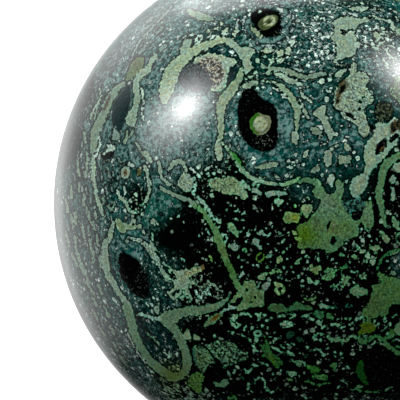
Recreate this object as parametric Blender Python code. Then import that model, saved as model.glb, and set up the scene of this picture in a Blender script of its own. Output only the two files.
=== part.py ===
"""A polished kambaba jasper sphere, 60 mm across, in metres with +Z up.

The stone is ground and polished from one lump, so it is one object. The origin is the middle of the small
flat that the ball rests on, and +Z runs from there through the ball's centre.
"""

import math

import bmesh
import bpy

DIAMETER = 0.060
RADIUS = DIAMETER / 2

# A flat this wide is 0.17 mm deep. It keeps the ball where it is put, on a slope of up to 5 degrees too.
RESTING_FLAT_DIAMETER = 0.0064
CENTRE_HEIGHT = math.sqrt(RADIUS ** 2 - (RESTING_FLAT_DIAMETER / 2) ** 2)

# Five rounds give 5120 near-equal facets about 2 mm wide, never more than 0.04 mm inside the true ball.
FACETING_ROUNDS = 5

# The stone's mean colour, a blackish teal green, as linear values.
STONE_COLOUR = (0.028, 0.062, 0.048, 1.0)
STONE_ROUGHNESS = 0.12
QUARTZ_IOR = 1.54


def clear_scene():
    """Removes whatever the file held, so that the script gives the same model each run."""
    for leftover in list(bpy.data.objects):
        bpy.data.objects.remove(leftover, do_unlink=True)


def polished_jasper():
    """The stone: opaque fine-grained quartz, not metallic, with a glossy hand polish."""
    material = bpy.data.materials.new("polished_jasper")
    material.use_nodes = True
    surface = material.node_tree.nodes["Principled BSDF"]
    surface.inputs["Base Color"].default_value = STONE_COLOUR
    surface.inputs["Roughness"].default_value = STONE_ROUGHNESS
    surface.inputs["Metallic"].default_value = 0.0
    surface.inputs["IOR"].default_value = QUARTZ_IOR
    material.diffuse_color = STONE_COLOUR
    return material


def ball_mesh():
    """The ball with its centre at CENTRE_HEIGHT, and what reaches below Z = 0 cut off level."""
    ball = bmesh.new()
    bmesh.ops.create_icosphere(ball, subdivisions=FACETING_ROUNDS, radius=RADIUS)
    bmesh.ops.translate(ball, verts=ball.verts, vec=(0, 0, CENTRE_HEIGHT))

    whole_ball = ball.verts[:] + ball.edges[:] + ball.faces[:]
    cut = bmesh.ops.bisect_plane(ball, geom=whole_ball, plane_co=(0, 0, 0), plane_no=(0, 0, -1), clear_outer=True)
    rim = [piece for piece in cut["geom_cut"] if isinstance(piece, bmesh.types.BMEdge)]
    bmesh.ops.edgeloop_fill(ball, edges=rim)
    bmesh.ops.recalc_face_normals(ball, faces=ball.faces)

    mesh = bpy.data.meshes.new("sphere")
    ball.to_mesh(mesh)
    ball.free()
    mesh.shade_smooth()
    return mesh


def main():
    clear_scene()
    collection = bpy.data.collections.new("kambaba_jasper_sphere")
    bpy.context.scene.collection.children.link(collection)

    sphere = bpy.data.objects.new("sphere", ball_mesh())
    sphere.data.materials.append(polished_jasper())
    collection.objects.link(sphere)


main()
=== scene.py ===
"""The looks of a polished kambaba jasper sphere, 60 mm across, in metres with +Z up.

The ball is one dense mesh. Its markings are drawn in pixels of the photograph, which is 400 px square,
and kept on the mesh as distances and colours that the stone's material reads. The sides that the
photograph doesn't show are marked in the same way, from seeded random places.
"""

import math

import bpy
import numpy as np
from mathutils import Matrix, Vector


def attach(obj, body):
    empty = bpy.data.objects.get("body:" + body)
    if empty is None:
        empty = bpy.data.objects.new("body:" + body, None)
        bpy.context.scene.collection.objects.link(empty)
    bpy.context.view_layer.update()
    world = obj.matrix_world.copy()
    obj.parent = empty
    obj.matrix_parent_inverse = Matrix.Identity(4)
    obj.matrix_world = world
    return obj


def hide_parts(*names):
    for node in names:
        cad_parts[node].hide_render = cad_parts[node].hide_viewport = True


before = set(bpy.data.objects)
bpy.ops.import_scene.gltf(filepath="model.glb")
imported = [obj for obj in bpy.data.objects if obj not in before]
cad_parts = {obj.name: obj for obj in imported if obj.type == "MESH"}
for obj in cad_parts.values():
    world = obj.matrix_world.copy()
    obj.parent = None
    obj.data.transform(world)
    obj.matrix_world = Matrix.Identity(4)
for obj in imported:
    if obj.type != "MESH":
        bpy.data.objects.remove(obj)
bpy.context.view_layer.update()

# The ball.
RADIUS = 0.030
RESTING_FLAT_RADIUS = 0.0032
CENTRE = Vector((0, 0, math.sqrt(RADIUS ** 2 - RESTING_FLAT_RADIUS ** 2)))

# How the photograph frames it, in pixels.
PHOTO_SIDE = 400
BALL_X = 305.0
BALL_Y = 203.4
BALL_RADIUS_PX = 252.0
MM_PER_PX = 1000 * RADIUS / BALL_RADIUS_PX

# The camera.
CAMERA_DISTANCE = 10 * RADIUS
CAMERA_ELEVATION = math.radians(8)
CLIP_START = 0.01
SENSOR_MM = 36
FOCAL_PX = BALL_RADIUS_PX / math.tan(math.asin(RADIUS / CAMERA_DISTANCE))

# Directions from the ball, as the camera sees them.
TO_CAMERA = Vector((0, -math.cos(CAMERA_ELEVATION), math.sin(CAMERA_ELEVATION)))
TO_RIGHT = Vector((1, 0, 0))
UPWARDS = TO_CAMERA.cross(TO_RIGHT)


def linear(hex_colour):
    """A hex colour such as "#8fa877" as linear red, green, blue and 1."""
    values = [int(hex_colour[place:place + 2], 16) / 255 for place in (1, 3, 5)]
    return [v / 12.92 if v <= 0.04045 else ((v + 0.055) / 1.055) ** 2.4 for v in values] + [1.0]


# The stone's colours.
SAGE = "#829b8a"
DIM_SAGE = "#6f8777"
DULL_SAGE = "#60776f"
SAGE_GREEN = "#6a9673"
PALE = "#9cb4a8"
CREAM = "#a2b19a"
MINT = "#8fba9c"
MINT_GREEN = "#76a67d"
LIME = "#8abf7e"
LEAF = "#559059"
FERN = "#34753a"
VIVID_GREEN = "#3f8f1f"
OLIVE = "#6f8c50"
MOSS_YELLOW = "#669232"
RUST = "#8a5a28"
TEAL = "#00463f"
DEEP_TEAL = "#00332c"
INDIGO = "#002022"
SLATE = "#003f38"
BLACK = "#000100"


def camera_turn():
    """The camera's turn, without a roll, that puts the ball's centre at its pixel of the photograph."""
    ball = Vector((BALL_X - PHOTO_SIDE / 2, PHOTO_SIDE / 2 - BALL_Y, -FOCAL_PX)).normalized()
    height = math.hypot(ball.y, ball.z)
    tilt = math.asin(-TO_CAMERA.z / height) - math.atan2(ball.y, -ball.z)
    aside = math.atan2(ball.x, -ball.z * math.cos(tilt) - ball.y * math.sin(tilt))
    return Matrix.Rotation(aside, 4, "Z") @ Matrix.Rotation(math.pi / 2 + tilt, 4, "X")


def add_camera():
    """The camera of the photograph, whose crop leaves parts of the ball outside the picture."""
    data = bpy.data.cameras.new("camera")
    data.sensor_width = SENSOR_MM
    data.lens = FOCAL_PX * SENSOR_MM / PHOTO_SIDE
    data.clip_start = CLIP_START
    camera = bpy.data.objects.new("camera", data)
    camera.matrix_world = Matrix.Translation(CENTRE + TO_CAMERA * CAMERA_DISTANCE) @ camera_turn()
    bpy.context.scene.collection.objects.link(camera)
    bpy.context.scene.camera = camera


def photo_pixels(directions):
    """Where the camera sees these points of the ball, in pixels, and whether it sees them at all."""
    camera = Matrix.Translation(TO_CAMERA * CAMERA_DISTANCE) @ camera_turn()
    seen = (directions * RADIUS - np.array(camera.translation)) @ np.array(camera.to_3x3())
    x = PHOTO_SIDE / 2 + FOCAL_PX * seen[:, 0] / -seen[:, 2]
    y = PHOTO_SIDE / 2 - FOCAL_PX * seen[:, 1] / -seen[:, 2]
    facing = directions @ np.array(TO_CAMERA) > RADIUS / CAMERA_DISTANCE
    return x, y, facing


def towards_pixel(x, y):
    """The direction from the ball's centre to the place on it that the photograph shows at a pixel."""
    turn = camera_turn().to_3x3()
    ray = (turn @ Vector((x - PHOTO_SIDE / 2, PHOTO_SIDE / 2 - y, -FOCAL_PX))).normalized()
    start = TO_CAMERA * CAMERA_DISTANCE
    middle = -start.dot(ray)
    inside = RADIUS ** 2 - (start.length_squared - middle ** 2)
    return (start + ray * (middle - math.sqrt(max(inside, 0)))).normalized()


# The mesh has this many squares along each side of the cube that it is blown up from.
SQUARES = 128
# Points are drawn together towards the side that the photograph shows, which needs the finest drawing.
CROWDING = 0.52
CROWDED_PIXEL = (235, 205)
CROWDED_SIDE = towards_pixel(*CROWDED_PIXEL)
# What something is divided by never gets smaller than this.
TINY = 1e-9


def cube_points():
    """Unit directions and four-cornered faces of a cube blown up to a ball, with each point made once."""
    steps = np.tan(np.linspace(-1, 1, SQUARES + 1) * math.pi / 4)
    number = {}
    points = []
    faces = []
    for axis in range(3):
        for side in (-1, 1):
            corner = np.empty((SQUARES + 1, SQUARES + 1), int)
            for row in range(SQUARES + 1):
                for column in range(SQUARES + 1):
                    place = [0, 0, 0]
                    place[axis] = side * SQUARES
                    place[(axis + 1) % 3] = 2 * row - SQUARES
                    place[(axis + 2) % 3] = 2 * column - SQUARES
                    key = tuple(place)
                    if key not in number:
                        number[key] = len(points)
                        points.append(key)
                    corner[row, column] = number[key]
            if side > 0:
                quads = (corner[:-1, :-1], corner[1:, :-1], corner[1:, 1:], corner[:-1, 1:])
            else:
                quads = (corner[:-1, :-1], corner[:-1, 1:], corner[1:, 1:], corner[1:, :-1])
            faces.append(np.stack(quads, axis=-1).reshape(-1, 4))
    places = (np.array(points) + SQUARES) // 2
    at_steps = steps[places]
    return at_steps / np.linalg.norm(at_steps, axis=1, keepdims=True), np.concatenate(faces)


def crowd(directions):
    """Draws the directions together around CROWDED_SIDE, without tearing or crossing."""
    middle = np.array(CROWDED_SIDE)
    along = directions @ middle
    aside = directions - along[:, None] * middle
    length = np.linalg.norm(aside, axis=1)
    angle = 2 * np.arctan2(CROWDING * length, 1 + along)
    aside /= np.maximum(length, TINY)[:, None]
    return np.cos(angle)[:, None] * middle + np.sin(angle)[:, None] * aside


def rounded(points, closed):
    """The points with two more between each pair, on a curve that passes through all of them."""
    points = np.array(points, float)
    count = len(points)
    if count < 3:
        return points
    out = []
    for index in range(count if closed else count - 1):
        before, here, after, beyond = (
            points[place % count] if closed else points[min(max(place, 0), count - 1)]
            for place in range(index - 1, index + 3)
        )
        for t in (0, 1 / 3, 2 / 3):
            out.append(
                here + 0.5 * t * ((after - before)
                + t * ((2 * before - 5 * here + 4 * after - beyond)
                + t * (3 * (here - after) + beyond - before)))
            )
    if not closed:
        out.append(points[-1])
    return np.array(out)


# Distances are kept this far from a marking's edge, in pixels.
REACH = 7
# The pixel of a point that the view doesn't show.
HIDDEN = -9999
# How ragged the edge of a marking is.
RAGGED = 1.0
CRISP = 0.3
# An oval has this many points.
OVAL_POINTS = 12
# A direction is nearly upright where its height passes this.
NEARLY_UPRIGHT = 0.9


class Markings:
    """What is drawn on the ball: for each point of the mesh, how deep it lies in pale mineral or in a black
    hollow, in mm and negative outside, and the colours there. Drawings are in pixels of the view that is
    drawn on, the photograph or a flat map."""

    def __init__(self, directions):
        count = len(directions)
        self.directions = directions
        self.pale = np.full(count, -REACH * MM_PER_PX)
        self.hollow = np.full(count, -REACH * MM_PER_PX)
        self.ink = np.tile(np.array(linear(SAGE)), (count, 1))
        self.grain = np.zeros(count)
        self.ground = np.tile(np.array(linear(BLACK)), (count, 1))
        self.flakes = np.zeros(count)
        self.flake_ink = np.tile(np.array(linear(MINT)), (count, 1))
        self.tint = np.zeros((count, 4))
        self.draw_on_photo()

    def draw_on_photo(self):
        """Draws on the side that the photograph shows, in its pixels."""
        self.x, self.y, facing = photo_pixels(self.directions)
        self.x[~facing] = HIDDEN

    def draw_around(self, middle, turn):
        """Draws on a flat map around one direction instead, with that direction at pixel 0, 0."""
        middle = np.array(middle)
        across = np.cross((0, 0, 1) if abs(middle[2]) < NEARLY_UPRIGHT else (1, 0, 0), middle)
        across /= np.linalg.norm(across)
        up = np.cross(middle, across)
        turned_up = up * math.cos(turn) - across * math.sin(turn)
        turned_across = across * math.cos(turn) + up * math.sin(turn)
        cosine = self.directions @ middle
        sine = np.sqrt(np.maximum(1 - cosine ** 2, TINY))
        stretch = np.arccos(np.clip(cosine, -1, 1)) / sine * BALL_RADIUS_PX
        self.x = np.where(cosine > 0, self.directions @ turned_across * stretch, HIDDEN)
        self.y = -self.directions @ turned_up * stretch

    def close_to(self, outline):
        """The numbers of the points near an outline or a line."""
        low = outline.min(0) - REACH
        high = outline.max(0) + REACH
        return np.nonzero((self.x > low[0]) & (self.x < high[0]) & (self.y > low[1]) & (self.y < high[1]))[0]

    def distance(self, where, starts, ends):
        """How far each point is from the nearest of the lines, which line that is and how far along it."""
        here = np.stack((self.x[where], self.y[where]), axis=-1)[:, None]
        run = ends - starts
        length = np.maximum((run ** 2).sum(-1), TINY)
        along = np.clip(((here - starts) * run).sum(-1) / length, 0, 1)
        gap = np.linalg.norm(here - starts - along[..., None] * run, axis=-1)
        nearest = gap.argmin(1)
        row = np.arange(len(where))
        return gap[row, nearest], nearest, along[row, nearest]

    def depth_in(self, outline):
        """Points near a closed outline, and how deep each lies inside it, in mm."""
        where = self.close_to(outline)
        ends = np.roll(outline, -1, axis=0)
        gap, _, _ = self.distance(where, outline, ends)
        x = self.x[where, None]
        y = self.y[where, None]
        spans = (outline[:, 1] > y) != (ends[:, 1] > y)
        rise = ends[:, 1] - outline[:, 1]
        slope = (ends[:, 0] - outline[:, 0]) / np.where(rise == 0, TINY, rise)
        crossed = spans & (x < outline[:, 0] + (y - outline[:, 1]) * slope)
        inside = crossed.sum(1) % 2 == 1
        return where, np.where(inside, gap, -gap) * MM_PER_PX

    def lay(self, where, depth, colour, grain, crisp=False):
        """Lays pale mineral over what is there. The ink's fourth value says how ragged its edge is."""
        closer = (depth > 0) | (depth > self.pale[where])
        spots = where[closer]
        self.pale[spots] = np.maximum(self.pale[spots], depth[closer])
        self.ink[spots] = linear(colour)[:3] + [CRISP if crisp else RAGGED]
        self.grain[spots] = grain

    def patch(self, colour, outline, grain=0.0, crisp=False):
        """A patch of mineral. grain is how granular it is, from 0 to 1, and crisp gives it a clean edge."""
        where, depth = self.depth_in(rounded(outline, True))
        self.lay(where, depth, colour, grain, crisp)

    def vein(self, colour, widths, line, grain=0.0, crisp=False):
        """A band of mineral. widths is one width, or several spread evenly along the line, in pixels."""
        line = rounded(line, False)
        where = self.close_to(line)
        gap, nearest, along = self.distance(where, line[:-1], line[1:])
        spread = np.atleast_1d(np.array(widths, float))
        place = (nearest + along) / (len(line) - 1) * (len(spread) - 1)
        width = np.interp(place, range(len(spread)), spread)
        self.lay(where, (width / 2 - gap) * MM_PER_PX, colour, grain, crisp)

    def blobs(self, colour, *spots):
        """Small rounded patches, each with its middle and its radius."""
        for x, y, radius in spots:
            where = self.close_to(np.array([(x, y), (x, y)]))
            gap = np.hypot(self.x[where] - x, self.y[where] - y)
            self.lay(where, (radius - gap) * MM_PER_PX, colour, 0.0)

    def streaks(self, colour, width, *ends):
        """Short straight veins, each given by the pixels of its two ends."""
        for x, y, end_x, end_y in ends:
            self.vein(colour, width, [(x, y), (end_x, end_y)])

    def cut(self, where, depth):
        """Takes a shape out of the pale mineral."""
        self.pale[where] = np.minimum(self.pale[where], -depth)

    def hole(self, outline):
        """Bare ground inside a patch."""
        self.cut(*self.depth_in(rounded(outline, True)))

    def black(self, outline):
        """A solid black orb or cavity, which hides what lies under it."""
        where, depth = self.depth_in(rounded(outline, True))
        self.cut(where, depth)
        self.hollow[where] = np.maximum(self.hollow[where], depth)

    def ring(self, colour, width, x, y, across, high, turn=0.0):
        """An oval band of mineral around a middle, turned by so many degrees."""
        round_trip = oval(x, y, across, high, turn)
        self.vein(colour, width, round_trip + round_trip[:1], crisp=True)

    def stain(self, colour, strength, x, y, radius):
        """Tints mineral and ground alike, softly, around a middle."""
        gap = np.hypot(self.x - x, self.y - y)
        weight = strength * np.exp(-(gap / radius) ** 2)
        stronger = weight > self.tint[:, 3]
        self.tint[stronger, :3] = linear(colour)[:3]
        self.tint[stronger, 3] = weight[stronger]


def oval(x, y, across, high, turn=0.0):
    """The points of an oval around a middle, turned by so many degrees."""
    lean = math.radians(turn)
    points = []
    for step in range(OVAL_POINTS):
        angle = 2 * math.pi * step / OVAL_POINTS
        out = across * math.cos(angle)
        up = high * math.sin(angle)
        points.append((
            x + out * math.cos(lean) - up * math.sin(lean), y + out * math.sin(lean) + up * math.cos(lean)))
    return points


def draw_top_eye(stone):
    """The small ringed eye at the top of the photograph."""
    for colour, line in (
        ("#8a9a98", [(246, 15), (243, 21), (243, 28), (247, 34), (254, 39)]),
        ("#7d8f8c", [(288, 9), (292, 15), (294, 22), (293, 29), (289, 35)]),
        ("#7d8f8c", [(257, 43), (266, 46), (277, 44), (285, 38)]),
        ("#7d8f8c", [(240, 33), (237, 26), (239, 17)]),
        ("#8a9a98", [(258, 3), (266, 2), (276, 4), (283, 7)]),
    ):
        stone.vein(colour, [0.8, 1.7, 1.7, 0.8], line)
    stone.black([
        (251, 14), (256, 10), (264, 8), (272, 9.5), (279, 12), (281.5, 18), (281.5, 26), (282, 30),
        (279, 35), (272, 37.5), (265, 38), (261, 35), (258, 31), (254, 26), (251, 21)])
    stone.patch("#798a70", [
        (250, 25), (254, 27.5), (258, 31), (262.5, 37), (260, 37.5), (255, 34), (251, 30)])
    stone.patch("#3a472a", [
        (258, 25), (260, 20), (264, 17), (270, 15), (276, 15), (278.5, 19), (276, 24), (270, 28),
        (264, 30.5), (260, 29)], crisp=True)
    stone.ring("#a3b294", 2.0, 269, 21.2, 5.6, 3.7, -18)
    stone.blobs("#11180c", (268.6, 21.3, 1.1), (270.2, 20.9, 1.1))
    stone.blobs(PALE, (260, 11, 1.2), (279.5, 30, 1), (292, 42.5, 3))
    stone.black([(289, 24), (290.5, 27), (290, 31), (288.5, 28)])


def draw_arch(stone):
    """The wide arch of sage left of the large eye, and the granular orb inside it."""
    stone.vein("#8ca38c", [8, 14, 15, 14, 12, 9, 8, 7, 6, 6], [
        (164, 100), (166, 90), (169, 80), (173, 70), (181, 61), (192, 52), (203, 46.5), (213, 43),
        (223, 40), (232, 42)])
    stone.patch(SAGE, [
        (184, 39), (191, 39.5), (191, 44), (189, 50), (186, 54.5), (181, 54), (180, 49), (183, 44)])
    stone.patch(SAGE, [
        (225, 40), (230, 38), (235, 42), (240, 46.5), (247, 47), (251, 47.5), (255, 51), (251.5, 55),
        (250, 60), (252, 65), (255, 67.5), (250, 70), (246, 74.5), (244, 71), (243, 65), (241, 60),
        (238, 55), (234, 50), (229, 46)])
    stone.patch("#8fa593", [
        (193, 63), (197, 58), (204, 54.5), (212, 53), (221, 54.5), (227, 57), (233, 58), (236, 62),
        (234, 66), (230, 67), (229, 73), (227, 79), (226, 85), (222, 90), (215, 91.5), (211, 89), (206, 84),
        (200, 66)], grain=0.2)
    stone.patch("#9c9d90", [
        (197, 63), (203, 58.5), (210, 57), (216, 58), (221, 62), (224, 68), (224, 76), (221, 83), (216, 88),
        (211, 86), (208, 76), (203, 69)], grain=1.0)
    stone.patch("#3c474b", [
        (180, 73), (185, 67), (192, 63), (199, 64), (205, 69), (210, 76), (213, 86), (206, 90), (194, 91),
        (185, 87), (180, 80)], grain=0.8)
    stone.patch(PALE, [
        (194, 42), (195.5, 37.5), (199, 35), (203, 34.5), (202.5, 39), (199.5, 43), (196, 45)])
    stone.black([(196.5, 42), (198, 38.5), (201, 36), (200, 39.5)])
    stone.patch(PALE, [(207, 37), (210, 34.5), (215, 35), (220, 35.5), (219, 38.5), (212, 39)])
    stone.black([(209.5, 37.2), (213, 36.2), (217.5, 36.5), (213, 37.6)])
    for outline in (
        [(206, 31), (209, 29.5), (211, 31), (209, 33)],
        [(213, 28), (216, 27), (218, 29), (215, 30.5)],
        [(222, 31), (225, 28.5), (229, 27), (228, 30), (225, 33)],
        [(232, 34), (235, 32), (236, 35), (234, 36.5)],
        [(236, 28), (238, 31), (239, 35), (236, 32)],
        [(219, 23), (223, 22), (223, 24), (220, 25)],
    ):
        stone.patch("#93a792", outline)
    stone.streaks(PALE, 1.8, (183, 38, 188, 36), (188, 36, 193, 34.5), (222, 35, 227, 33.5))


def draw_large_eye(stone):
    """The large black eye with a pale green disc, its halo and the bands that run around it."""
    stone.vein("#80967d", [4, 7, 9, 10, 9, 7, 6, 5, 5], [
        (241, 70), (239, 79), (232, 89), (225, 98), (220.5, 107), (220.5, 115), (221, 123), (221, 131),
        (220.5, 137)])
    stone.patch("#8ba38e", [
        (217, 138), (219, 140), (221, 147), (223, 155), (222, 159), (219, 161), (216, 157), (215, 149)])
    stone.vein("#7fa088", [1.5, 2, 2.2, 2.6, 4, 4, 4, 3.5, 3], [
        (219, 137), (224, 145), (229, 152), (234, 159), (239, 166), (245, 173), (254, 179), (266, 183),
        (284, 185)])
    stone.patch("#2f7a34", [
        (229, 150.5), (234, 153), (239, 158), (242, 164), (243, 169), (239, 165), (234, 158)])
    stone.vein("#6c9a70", [3, 4, 3], [(284, 185), (291, 182), (300, 178)])
    stone.vein("#7a957c", [3, 5, 6, 7, 7, 5, 4, 3.5], [
        (277, 84), (283, 88), (289, 94), (293, 101), (297, 108), (297.5, 116), (297, 123), (297, 129)])
    stone.patch(SAGE, [(292.5, 132), (297, 131), (298.5, 138), (297, 144), (293, 143), (291.5, 138)])
    stone.patch("#74907b", [
        (255, 167.5), (262, 164.5), (270, 162.5), (278, 162.5), (278.5, 165.5), (270, 167.5),
        (262, 169)], grain=0.2)
    stone.streaks(PALE, 1.8, (287, 161, 294, 161), (287, 166.5, 294, 166))
    stone.black([
        (243, 91), (249, 88), (255, 90), (259, 95), (263, 98.5), (269, 101), (275, 106), (277, 112),
        (278, 120), (278, 132), (278, 140), (276, 147), (270, 151), (262, 152), (254, 149), (247, 144),
        (242, 138), (239, 130), (237.5, 120), (237, 112), (238.5, 103), (240.5, 96)])
    stone.patch("#6b7358", [
        (250, 120), (254, 115), (258, 112.5), (260, 113), (264, 115), (269, 116), (271, 120), (270.5, 126),
        (268, 131), (264, 134), (259, 135.5), (254, 133), (250.5, 128), (249.5, 124)], crisp=True)
    stone.patch("#2a6216", [
        (250, 120), (254, 115), (258, 112.5), (259, 116), (256, 120), (254.5, 124), (255, 129), (258, 134),
        (254, 133), (250.5, 128), (249.5, 124)], crisp=True)
    for colour, disc in (
        ("#9bae94", oval(260.5, 124, 6.8, 7.2)), ("#889a7c", oval(260, 124.5, 4.6, 4.8)),
        ("#98a98f", oval(260, 124.5, 2.8, 3)),
    ):
        stone.patch(colour, disc, crisp=True)
    stone.streaks(PALE, 1.9, (274, 88, 279, 91), (282, 94, 284, 97.5), (284, 97.5, 287.5, 98))


def draw_bands_right_of_the_large_eye(stone):
    """The bands, patches and dots between the large eye and the big granular patch right of it."""
    stone.vein(DIM_SAGE, [3, 4, 4, 5, 4, 5, 4], [
        (262, 66), (268, 68), (276, 69), (284, 70), (292, 73), (300, 76), (308, 77), (315, 75), (325, 74)])
    stone.vein(SAGE, [3, 5, 5, 4], [(274, 73), (282, 76), (288, 80), (296, 82), (300, 84)], grain=0.5)
    stone.vein(SAGE, [2, 3, 2], [(301, 91), (303, 96), (307, 98), (312, 102)])
    stone.vein(SAGE, [2, 3, 3], [(300, 100), (303, 108), (306, 114), (308, 118)])
    stone.streaks(SAGE, 2.2, (244, 78.5, 253, 76), (262, 80.5, 274, 83))
    stone.patch("#7d9480", [
        (242.5, 86), (246, 83), (252, 80.5), (257.5, 80), (257, 84.5), (251, 87.5), (246, 88.5)])
    stone.blobs(
        SAGE, (258, 61, 2.8), (265, 57, 1.4), (270, 62, 1.4), (280, 54, 3), (288, 52, 2.8), (266, 50, 2),
        (271, 49.5, 1.6), (268, 73, 2.4), (255, 72, 1.8), (283, 59, 1.7), (279, 62, 1.6), (273, 57, 1.3),
        (262, 54, 1.2), (297, 62, 1.6), (302, 67, 1.4), (289, 64, 1.5))
    stone.patch(SAGE, [
        (321, 106), (325, 106), (326, 110), (324, 113), (327, 116), (329, 123), (330, 127), (334, 131),
        (334, 135), (331, 140), (328, 138), (327, 134), (324, 130), (323, 124), (320, 119), (317, 117),
        (313, 113), (315, 110)])
    for outline in (
        [(262, 51), (265, 49), (270, 50.5), (274, 49), (272, 52.5), (266, 53)],
        [(278, 51), (281, 50), (283, 52), (281, 55), (278, 54)],
        [(286, 50), (288, 47), (290, 46), (290, 49), (292, 50), (289, 54), (286, 53)],
        [(268, 60), (271, 59), (273, 60), (272, 64), (269, 63)],
        [(277, 62), (279, 59), (283, 56.5), (284, 59), (283, 63), (280, 62)],
        [(256, 59), (258, 59), (260, 62), (257, 63)],
    ):
        stone.patch("#93a792", outline)
    stone.patch(DIM_SAGE, [(311, 128), (315, 127), (320, 130), (323, 135), (317, 135), (312, 133)])
    stone.patch(SAGE, [(303, 157), (305, 151), (308, 149), (308, 154), (305, 158)])
    stone.patch(DIM_SAGE, [(311, 171), (315, 167), (318, 164), (320, 169), (316, 172), (312, 173)])
    stone.patch(SAGE, oval(328, 158.5, 4, 8.5))
    stone.patch(PALE, [(327, 180), (330, 175), (334, 174), (335, 179), (333, 184), (332, 188), (329, 185)])
    stone.patch("#7f9783", [
        (338, 157), (341, 155), (345, 157), (349, 155), (352, 158), (350, 161), (352, 166), (348, 164),
        (344, 163), (341, 164), (337, 166), (339, 161)])
    stone.patch(SAGE, [(344, 145), (346, 143), (349, 146), (352, 147), (350, 151), (345, 149)])
    stone.streaks(SAGE, 2.2, (331, 149, 338, 145))
    stone.blobs(
        PALE, (318, 138, 1.5), (322, 143, 1.7), (326, 144, 1.4), (337, 134, 1.8), (347, 137, 1.7),
        (349, 126, 1.4), (354, 152, 1.6), (358, 158, 2), (319, 160, 1.3), (322, 175, 1.6), (347, 181, 1.8),
        (370, 198, 1.4), (342, 126, 1.5), (288, 161, 1.5), (294, 162, 1.7), (291, 167, 2), (327, 99, 2.6))


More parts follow.
